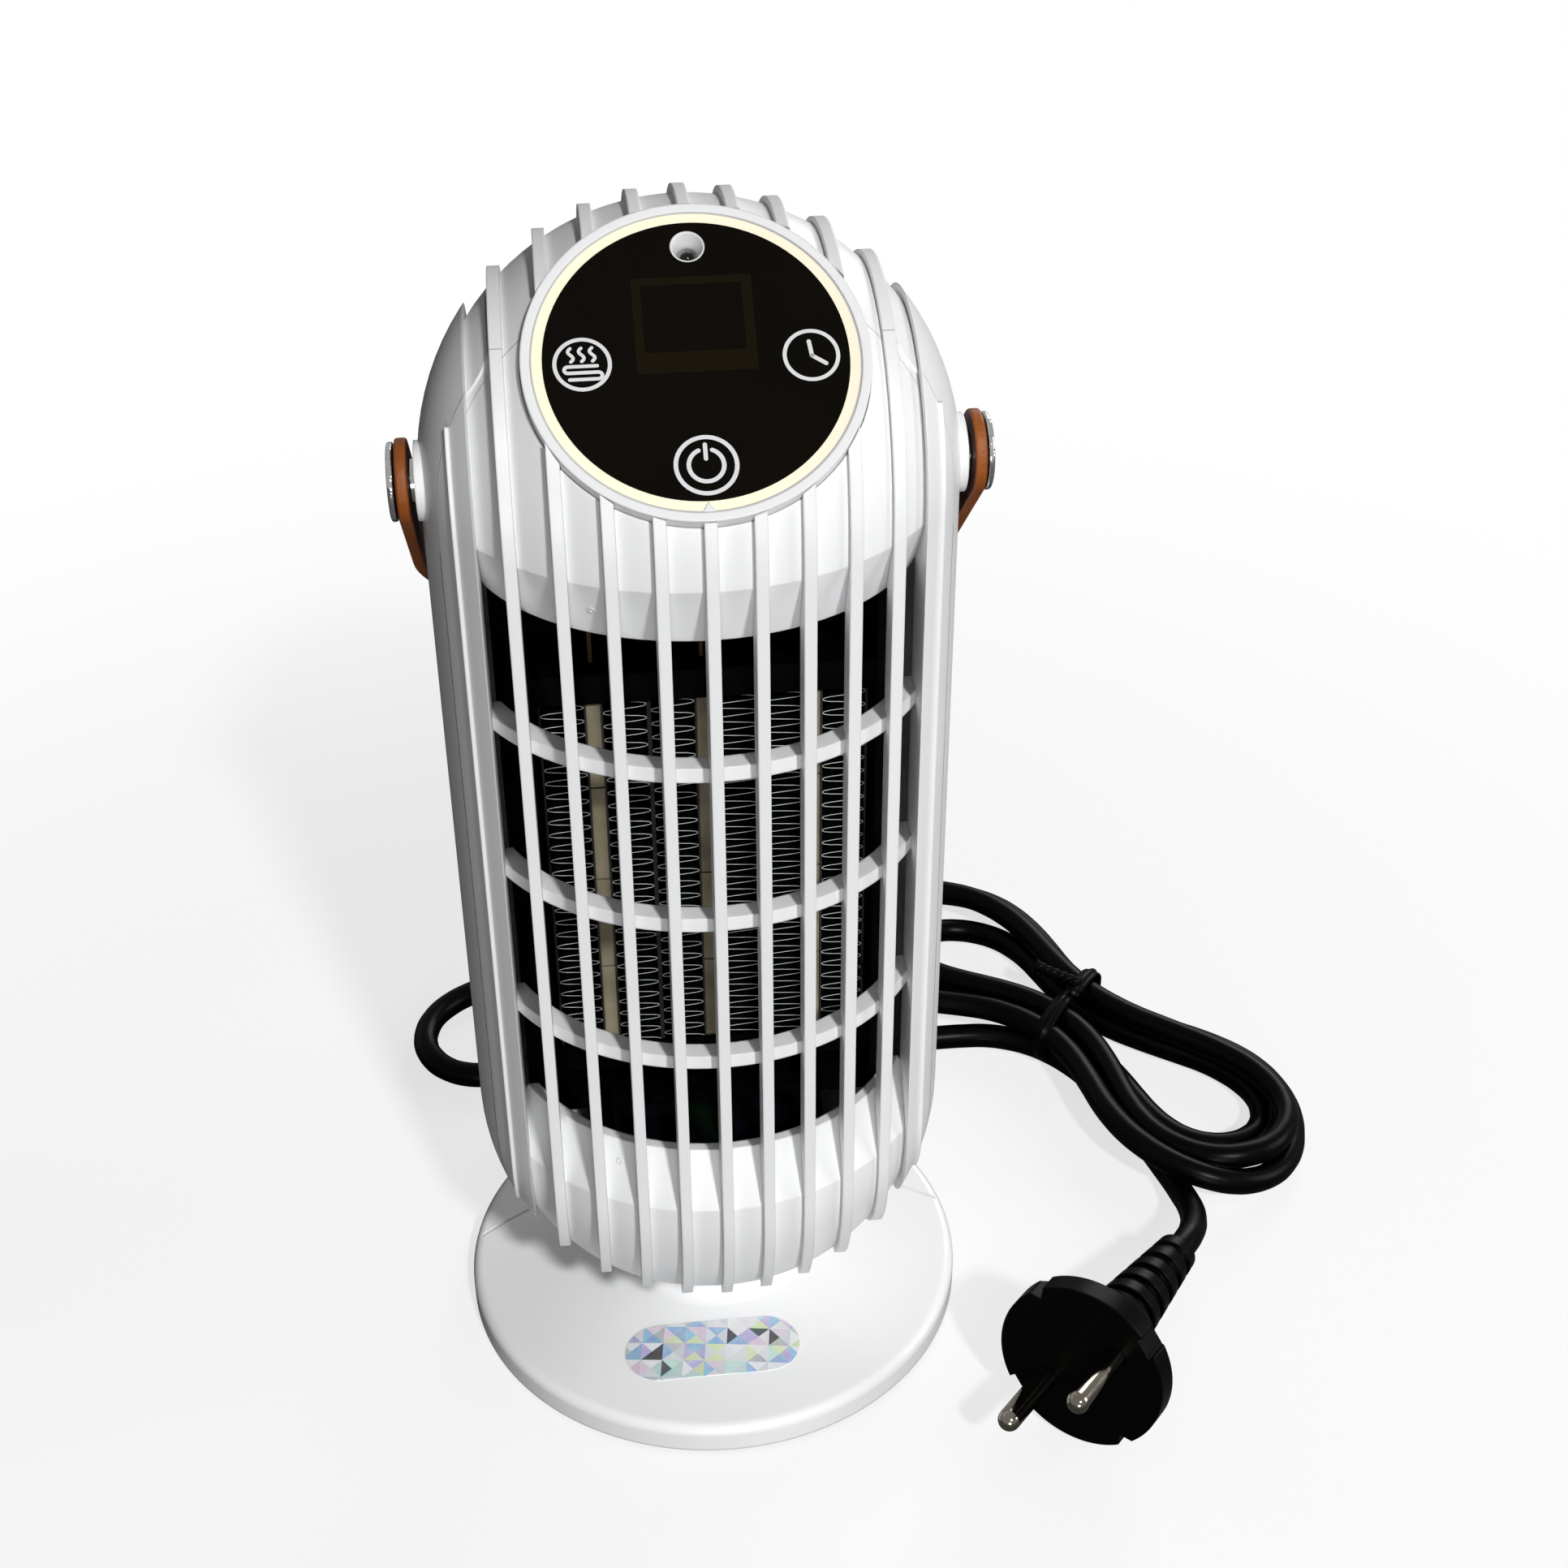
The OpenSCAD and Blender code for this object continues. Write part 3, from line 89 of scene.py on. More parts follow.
def mathNode(tree, operation, *values):
    return addNode(tree, "ShaderNodeMath", dict(enumerate(values)), operation=operation).outputs[0]


def mixColour(tree, factor, first, second, **settings):
    values = {"Factor": factor, "A": first, "B": second}
    return addNode(tree, "ShaderNodeMix", values, data_type="RGBA", **settings).outputs["Result"]


def mapRange(tree, value, taken, given=(0, 1), **settings):
    values = {"Value": value, "From Min": taken[0], "From Max": taken[1], "To Min": given[0], "To Max": given[1]}
    return addNode(tree, "ShaderNodeMapRange", values, **settings).outputs["Result"]


def splitVector(tree, vector):
    return addNode(tree, "ShaderNodeSeparateXYZ", {0: vector}).outputs


def joinVector(tree, x=0, y=0, z=0):
    return addNode(tree, "ShaderNodeCombineXYZ", {"X": x, "Y": y, "Z": z}).outputs[0]


def vectorLength(tree, vector):
    return addNode(tree, "ShaderNodeVectorMath", {0: vector}, operation="LENGTH").outputs["Value"]


def objectPlace(tree):
    return tree.nodes.new("ShaderNodeTexCoord").outputs["Object"]


def addNoise(tree, scale, detail=2, vector=None):
    values = {"Vector": vector or objectPlace(tree), "Scale": scale, "Detail": detail}
    return addNode(tree, "ShaderNodeTexNoise", values).outputs


# The bump's strength and its depth in metres come as a pair
def addRelief(tree, bump, values):
    return addNode(tree, "ShaderNodeBump", {"Strength": bump[0], "Distance": bump[1], **values}).outputs["Normal"]


def newGroup(name, treeType, inputs, outputs):
    tree = bpy.data.node_groups.new(name, treeType)
    for way, sockets in (("INPUT", inputs), ("OUTPUT", outputs)):
        for label, kind in sockets.items():
            tree.interface.new_socket(name=label, in_out=way, socket_type="NodeSocket" + kind)
    return tree, tree.nodes.new("NodeGroupInput").outputs, tree.nodes.new("NodeGroupOutput").inputs


materials = {}


def newMaterial(name):
    material = bpy.data.materials.new(name)
    material.use_nodes = True
    materials[name] = material
    return material.node_tree, material.node_tree.nodes["Principled BSDF"].inputs


# place, target, size and watts of each soft lamp
lampPlan = {
    "keyWindow": ((0.60, -1.98, 1.86), (0, 0, 0.12), 0.22, 55),
    "frontSoftbox": ((-0.05, -1.35, 0.20), (0, 0, 0.12), 0.5, 5.0),
    "rightFill": ((1.35, -0.15, 0.55), (0, 0, 0.12), 0.7, 6),
    "backWindow": ((0.75, 1.25, 0.75), (0, 0, 0.15), 0.8, 8),
}
airLight = 0.035
mirrorLight = 0.40
white = (1, 1, 1, 1)


def placeLamps(plan):
    for name, (place, target, size, watts) in plan.items():
        light = bpy.data.lights.new(name, "AREA")
        light.shape, light.size, light.energy = "DISK", size, watts
        lamp = addObject(name, light)
        lamp.location = place
        lamp.rotation_euler = (Vector(target) - Vector(place)).to_track_quat("-Z", "Y").to_euler()


# Plain white to the camera, dimmer in reflections, and faint as a light
def paintAir(strength):
    world = bpy.data.worlds.new("studioAir")
    bpy.context.scene.world = world
    world.use_nodes = True
    tree = world.node_tree
    tree.nodes.clear()
    path = tree.nodes.new("ShaderNodeLightPath").outputs
    share = mathNode(tree, "MULTIPLY", path["Is Glossy Ray"], mirrorLight)
    airs = [addNode(tree, "ShaderNodeBackground", {"Color": white, "Strength": s}).outputs[0] for s in (strength, 1)]
    most = mathNode(tree, "MAXIMUM", share, path["Is Camera Ray"])
    mix = addNode(tree, "ShaderNodeMixShader", {0: most, 1: airs[0], 2: airs[1]})
    addNode(tree, "ShaderNodeOutputWorld", {"Surface": mix.outputs[0]})


placeLamps(lampPlan)
paintAir(airLight)
bpy.context.scene.view_settings.view_transform = "Standard"
print("camera and lamps set")

mottlePlan = {"mottleDetail": 3, "grainDetail": 2, "shineFrom": (0.2, 0.8)}


def buildMouldedSurface(plan):
    labels = {"Vector": "Vector", "Mottle Scale": "Float", "Grain Scale": "Float", "Dark Colour": "Color",
              "Light Colour": "Color", "Smooth": "Float", "Rough": "Float"}
    tree, given, out = newGroup("mouldedSurface", "ShaderNodeTree", labels,
                                {"Colour": "Color", "Roughness": "Float", "Height": "Float"})
    mottle = addNoise(tree, given["Mottle Scale"], plan["mottleDetail"], given["Vector"])["Fac"]
    grain = addNoise(tree, given["Grain Scale"], plan["grainDetail"], given["Vector"])["Fac"]
    colour = mixColour(tree, mottle, given["Dark Colour"], given["Light Colour"])
    shine = mapRange(tree, mottle, plan["shineFrom"], (given["Smooth"], given["Rough"]))
    fill(tree, out, {"Colour": colour, "Roughness": shine, "Height": grain})
    return tree


mouldedSurface = buildMouldedSurface(mottlePlan)

# dark and light colour, smooth and rough, mottle and grain scale, bump, metallic, coat, specular,
# edge radius in millimetres
surfacePlan = {
    "satinWhiteShell": ((0.79, 0.795, 0.80), (0.83, 0.835, 0.84), 0.36, 0.44, 22, 1400, 0.05, 0, 0.05, 0.4, 0.5),
    "glossWhiteBase": ((0.89, 0.893, 0.895), (0.92, 0.922, 0.924), 0.28, 0.34, 18, 1200, 0.03, 0, 0.08, 0.5, 0.6),
    "greyResin": ((0.20, 0.20, 0.21), (0.26, 0.26, 0.27), 0.45, 0.6, 40, 1500, 0.15, 0, 0, 0.4, 0.3),
    "blackResin": ((0.0007, 0.0007, 0.0007), (0.0014, 0.0014, 0.0014), 0.6, 0.72, 40, 1500, 0.15, 0, 0, 0.03, 0.3),
    "softRubber": ((0.012, 0.012, 0.012), (0.022, 0.022, 0.022), 0.6, 0.75, 60, 1800, 0.2, 0, 0, 0.3, 0.3),
    "cordRubber": ((0.0004, 0.0004, 0.0004), (0.0014, 0.0013, 0.0011), 0.26, 0.38, 35, 900, 0.08, 0, 0, 0.06, 0.7),
    "polishedSteel": ((0.62, 0.62, 0.61), (0.86, 0.86, 0.84), 0.04, 0.14, 260, 300, 0.25, 1, 0, 0.5, 0.15),
    "hammeredChrome": ((0.70, 0.70, 0.69), (0.92, 0.92, 0.90), 0.03, 0.10, 700, 520, 1.0, 1, 0, 0.5, 0.15),
    "pinNickel": ((0.20, 0.18, 0.14), (0.42, 0.39, 0.33), 0.06, 0.16, 160, 700, 0.05, 1, 0, 0.5, 0.2),
    "zincSteel": ((0.42, 0.43, 0.44), (0.55, 0.55, 0.54), 0.25, 0.4, 120, 900, 0.06, 1, 0, 0.5, 0.15),
    "firedCeramic": ((0.07, 0.054, 0.03), (0.38, 0.33, 0.225), 0.6, 0.75, 95, 1500, 0.25, 0, 0, 0.3, 0.2),
    "contactSheet": ((0.018, 0.018, 0.017), (0.040, 0.040, 0.038), 0.45, 0.6, 120, 900, 0.05, 0, 0, 0.1, 0.05),
    # The brass terminals' colours are darkened far below brass as painted shade
    "brassInPaintedShade": ((0.05, 0.035, 0.013), (0.09, 0.065, 0.026), 0.4, 0.55, 120, 900, 0.05, 1, 0, 0.5, 0.1),
    # The boards' green is darkened to near black as painted shade
    "solderMaskPaintedShade": ((0.0012, 0.005, 0.002), (0.002, 0.009, 0.0035), 0.4, 0.55, 160, 900, 0.08, 0, 0, 0.08, 0.1),
    # The blue parts' colour is darkened to near black as painted shade
    "blueMouldingPaintedShade": ((0.001, 0.0015, 0.004), (0.0018, 0.0025, 0.006), 0.45, 0.6, 90, 1200, 0.06, 0, 0, 0.05, 0.2),
    "brownInsulation": ((0.05, 0.02, 0.01), (0.07, 0.03, 0.015), 0.35, 0.45, 90, 1200, 0.05, 0, 0, 0.4, 0.1),
    "redInsulation": ((0.16, 0.01, 0.008), (0.22, 0.015, 0.01), 0.35, 0.45, 90, 1200, 0.05, 0, 0, 0.4, 0.1),
    "markWhite": ((0.64, 0.65, 0.66), (0.74, 0.75, 0.76), 0.4, 0.5, 160, 2200, 0.05, 0, 0, 0.5, 0.02),
    "darkLens": ((0.004, 0.0035, 0.003), (0.012, 0.010, 0.009), 0.05, 0.10, 160, 600, 0.02, 0, 0, 0.25, 0.1),
}
shellPlan = {"reliefDepth": 0.0003, "bevelSamples": 5}


def makeSurface(name, plan):
    dark, light, smooth, rough, mottleScale, grainScale, bump, metallic, coat, specular, edge = surfacePlan[name]
    tree, shader = newMaterial(name)
    group = addNode(tree, "ShaderNodeGroup", {
        "Vector": objectPlace(tree), "Mottle Scale": mottleScale, "Grain Scale": grainScale,
        "Dark Colour": (*dark, 1), "Light Colour": (*light, 1), "Smooth": smooth, "Rough": rough,
    }, node_tree=mouldedSurface, name="surface").outputs
    rounding = addNode(tree, "ShaderNodeBevel", {"Radius": edge * millimetre}, samples=plan["bevelSamples"])
    relief = addRelief(tree, (bump, plan["reliefDepth"]),
                       {"Height": group["Height"], "Normal": rounding.outputs["Normal"]})
    fill(tree, shader, {
        "Base Color": group["Colour"], "Roughness": group["Roughness"], "Normal": relief, "Metallic": metallic,
        "Coat Weight": coat, "Specular IOR Level": specular,
    })


for surfaceName in surfacePlan:
    makeSurface(surfaceName, shellPlan)

panelPlan = {"tilt": 39.3, "middle": (0, -0.02508, 0.23504), "lightRadius": 0.0276}
# The seam's line colour is painted shade
seamShadePlan = {"splitY": -0.0183, "lineWidth": 0.00028, "top": 0.198, "seamShadeColour": (0.10, 0.085, 0.065, 1)}


# Paints a thin dark line along the parting line between the two housings, below a given height, as painted shade in
# the seam
def paintSeamShade(plan):
    tree = materials["satinWhiteShell"].node_tree
    axes = splitVector(tree, objectPlace(tree))
    away = mathNode(tree, "ABSOLUTE", mathNode(tree, "SUBTRACT", axes["Y"], plan["splitY"]))
    seamShadeMask = mapRange(tree, away, (0, plan["lineWidth"]), (1, 0), interpolation_type="SMOOTHSTEP")
    share = mathNode(tree, "MULTIPLY", seamShadeMask, mathNode(tree, "LESS_THAN", axes["Z"], plan["top"]))
    colour = mixColour(tree, share, tree.nodes["surface"].outputs["Colour"], plan["seamShadeColour"])
    fill(tree, tree.nodes["Principled BSDF"].inputs, {"Base Color": colour})


paintSeamShade(seamShadePlan)


# Turns Object coordinates into places on the panel: X to the right, Y up the panel
def buildPanelPlace(plan):
    tree, given, out = newGroup("panelPlace", "ShaderNodeTree", {"Vector": "Vector"},
                                {"Across": "Float", "Up": "Float", "Radius": "Float"})
    middle, tilt = [-c for c in plan["middle"]], (-math.radians(plan["tilt"]), 0, 0)
    shift = addNode(tree, "ShaderNodeMapping", {"Vector": given["Vector"], "Location": middle})
    turn = addNode(tree, "ShaderNodeMapping", {"Vector": shift.outputs[0], "Rotation": tilt})
    axes = splitVector(tree, turn.outputs[0])
    radius = vectorLength(tree, joinVector(tree, axes["X"], axes["Y"]))
    fill(tree, out, {"Across": axes["X"], "Up": axes["Y"], "Radius": radius})
    return tree


panelPlace = buildPanelPlace(panelPlan)


def onPanel(tree):
    return addNode(tree, "ShaderNodeGroup", {"Vector": objectPlace(tree)}, node_tree=panelPlace).outputs


glassPlan = {
    "black": (0.0016, 0.0010, 0.0003, 1), "warmBlack": (0.0034, 0.0021, 0.0006, 1),
    "frameBrown": (0.0080, 0.0052, 0.0012, 1), "cloudScale": 45, "roughness": (0.05, 0.10), "specular": 0.09,
    "frames": ((0.0001, 0.00655, 0.0101, 0.00885), (0, 0.00775, 0.0085, 0.00625)),
}


# The display's frame is what lies inside the outer rectangle but not the inner one
def makeSmokedGlass(plan):
    tree, shader = newMaterial("smokedGlass")
    place = onPanel(tree)
    cloud = addNoise(tree, plan["cloudScale"])["Fac"]
    masks = [mathNode(tree, "MULTIPLY", mathNode(tree, "COMPARE", place["Across"], x, halfX),
                      mathNode(tree, "COMPARE", place["Up"], y, halfY)) for x, y, halfX, halfY in plan["frames"]]
    base = mixColour(tree, cloud, plan["black"], plan["warmBlack"])
    fill(tree, shader, {
        "Base Color": mixColour(tree, mathNode(tree, "SUBTRACT", *masks), base, plan["frameBrown"]),
        "Roughness": mapRange(tree, cloud, (0, 1), plan["roughness"]), "Specular IOR Level": plan["specular"],
    })


lightRingPlan = {
    "cream": (1.0, 0.975, 0.72, 1), "peach": (1.0, 0.87, 0.70, 1), "line": (0.52, 0.50, 0.47, 1), "glow": 0.03,
    "sweep": (-0.012, 0.028), "gapShadeInset": (0.00032, 0.00018), "roughness": 0.35,
}


# The grey line at the ring's outer edge is painted shade in the gap between the ring and the bezel
def makeLightGuide(plan):
    tree, shader = newMaterial("creamGuide")
    place = onPanel(tree)
    tint = mixColour(tree, mapRange(tree, place["Across"], plan["sweep"]), plan["cream"], plan["peach"])
    edge = mapRange(tree, place["Radius"], [panelPlan["lightRadius"] - inset for inset in plan["gapShadeInset"]])
    ringAndGapShade = mixColour(tree, edge, tint, plan["line"])
    fill(tree, shader, {"Base Color": ringAndGapShade, "Emission Color": ringAndGapShade, "Emission Strength": plan["glow"],
                        "Roughness": plan["roughness"]})


foilPlan = {
    "cell": 0.0046, "turn": 8, "relief": (0.5, 0.0009), "streakScale": 420, "streakShare": 0.55, "metallic": 0.35,
    "roughness": 0.18,
    "tints": [(0.0, (0.12, 0.13, 0.14)), (0.07, (0.80, 0.83, 0.88)), (0.22, (0.42, 0.62, 0.86)),
              (0.32, (0.90, 0.90, 0.92)), (0.46, (0.85, 0.72, 0.84)), (0.56, (0.62, 0.64, 0.66)),
              (0.66, (0.80, 0.91, 0.60)), (0.73, (0.92, 0.94, 0.96)), (0.84, (0.62, 0.58, 0.86)),
              (0.92, (0.66, 0.86, 0.84))],
}


# Foil pressed into small four-sided pyramids, each side with its own tint
def makePrismFoil(plan):
    tree, shader = newMaterial("prismFoil")

    def do(operation, *values):
        return mathNode(tree, operation, *values)

    turn = addNode(tree, "ShaderNodeMapping", {
        "Vector": objectPlace(tree), "Rotation": (0, 0, math.radians(plan["turn"])),
        "Scale": (1 / plan["cell"],) * 3,
    })
    axes = splitVector(tree, turn.outputs[0])
    inX, inY = do("FRACT", axes["X"]), do("FRACT", axes["Y"])
    over = do("GREATER_THAN", do("ADD", inX, inY), 1)
    side = do("ADD", do("MULTIPLY", over, 2), do("GREATER_THAN", inX, inY))
    cell = joinVector(tree, do("FLOOR", axes["X"]), do("FLOOR", axes["Y"]), side)
    chance = addNode(tree, "ShaderNodeTexWhiteNoise", {"Vector": cell}, noise_dimensions="3D")
    tint = addNode(tree, "ShaderNodeValToRGB", {"Fac": chance.outputs["Value"]})
    ramp = tint.color_ramp
    ramp.interpolation = "CONSTANT"
    while len(ramp.elements) < len(plan["tints"]):
        ramp.elements.new(0.99)
    for element, (place, colour) in zip(ramp.elements, plan["tints"]):
        element.position = place
        element.color = (*colour, 1)
    streak = addNoise(tree, plan["streakScale"])["Color"]
    far = [do("ABSOLUTE", do("SUBTRACT", inside, 0.5)) for inside in (inX, inY)]
    fill(tree, shader, {
        "Base Color": mixColour(tree, plan["streakShare"], tint.outputs["Color"], streak, blend_type="OVERLAY"),
        "Normal": addRelief(tree, plan["relief"], {"Height": do("MAXIMUM", *far)}),
        "Metallic": plan["metallic"], "Roughness": plan["roughness"],
    })


leatherPlan = {
    "face": (0.030, 0.004, 0.001, 1), "faceLight": (0.060, 0.010, 0.003, 1), "edge": (0.16, 0.032, 0.003, 1),
    "edgeLight": (0.36, 0.105, 0.014, 1), "grainScale": 900, "fibreScale": 1600, "cloudScale": 130,
    "cloudDetail": 6, "relief": (0.4, 0.0002), "roughness": (0.38, 0.62), "specular": 0.3,
}


def makeLeather(plan):
    tree, shader = newMaterial("waxedLeather")
    cloud = addNoise(tree, plan["cloudScale"], plan["cloudDetail"])["Fac"]
    face = mixColour(tree, cloud, plan["face"], plan["faceLight"])
    edge = mixColour(tree, cloud, plan["edge"], plan["edgeLight"])
    cut = addNode(tree, "ShaderNodeAttribute", attribute_name="cutEdge").outputs["Fac"]
    grain = {"Vector": objectPlace(tree), "Scale": plan["grainScale"]}
    pebble = addNode(tree, "ShaderNodeTexVoronoi", grain, feature="SMOOTH_F1").outputs["Distance"]
    height = mathNode(tree, "ADD", pebble, addNoise(tree, plan["fibreScale"])["Fac"])
    fill(tree, shader, {
        "Base Color": mixColour(tree, cut, face, edge), "Normal": addRelief(tree, plan["relief"], {"Height": height}),
        "Roughness": mapRange(tree, cloud, (0, 1), plan["roughness"]), "Specular IOR Level": plan["specular"],
    })


# face is painted shade on the foil's sides; edge is a painted highlight on its cut edges
finShadeAndHighlight = {
    "face": (0.0006, 0.0012, 0.0012, 1), "faceLight": (0.002, 0.0045, 0.005, 1),
    "edge": (0.60, 0.59, 0.55, 1), "cloudScale": 260, "facing": 0.8, "roughness": 0.45, "specular": 0.03,
}


# Thin sheet metal: its sides painted near-black as painted shade, and its cut edges that face forwards or backwards
# painted pale as a painted highlight
def makeFinFoil(plan):
    tree, shader = newMaterial("finFoilPaintedLight")
    axes = splitVector(tree, tree.nodes.new("ShaderNodeNewGeometry").outputs["True Normal"])
    highlightMask = mathNode(tree, "GREATER_THAN", mathNode(tree, "ABSOLUTE", axes["Y"]), plan["facing"])
    sides = mixColour(tree, addNoise(tree, plan["cloudScale"])["Fac"], plan["face"], plan["faceLight"])
    fill(tree, shader, {"Base Color": mixColour(tree, highlightMask, sides, plan["edge"]), "Roughness": plan["roughness"],
                        "Specular IOR Level": plan["specular"]})


makeFinFoil(finShadeAndHighlight)
makeSmokedGlass(glassPlan)
makeLightGuide(lightRingPlan)
makePrismFoil(foilPlan)
makeLeather(leatherPlan)

nodeFinish = {
    "satinWhiteShell": ["front_grille", "rear_housing", "panel_bezel", "receiver_cup", "bottom_cap"],
    "glossWhiteBase": ["base_cover"],
    "creamGuide": ["light_ring"],
    "smokedGlass": ["touch_glass"],
    "greyResin": ["bottom_plate", "tip_plunger", "fan_impeller", "motor_bracket", "display_module"],
    "blackResin": ["air_duct", "core_holders", "tip_switch"],
    "darkLens": ["receiver_eye"],
    "softRubber": ["rubber_feet"],
    "cordRubber": ["cord_relief", "cord_lead", "cord_hank", "cord_tail", "cord_tie", "plug_body",
                   "switch_wires", "fan_wires"],
    "hammeredChrome": ["pivot_posts"],
    "polishedSteel": ["strap_washers", "motor_shaft"],
    "pinNickel": ["plug_pins"],
    "zincSteel": ["base_screws", "neck_screws", "housing_screws", "control_screws", "motor_screws",
                  "board_screws", "core_screws", "tip_spring", "touch_springs", "pivot_nuts",
                  "fan_motor", "thermal_cutout", "thermal_fuse"],
    "finFoilPaintedLight": ["heat_fins"],
    "contactSheet": ["contact_plates"],
    "firedCeramic": ["ceramic_stones"],
    "brassInPaintedShade": ["core_terminals"],
    "solderMaskPaintedShade": ["control_board", "power_board"],
    "blueMouldingPaintedShade": ["board_parts"],
    "brownInsulation": ["mains_wires"],
    "redInsulation": ["heater_wires"],
    "waxedLeather": ["leather_strap"],
    "prismFoil": ["foil_label"],
}


def dressNodes(plan):
    for finish, names in plan.items():
        for name in names:
            if name not in nodes:
                continue
            if not nodes[name].material_slots:
                nodes[name].data.materials.append(materials[finish])
            for slot in nodes[name].material_slots:
                slot.material = materials[finish]


dressNodes(nodeFinish)
print("finishes made:", len(materials))

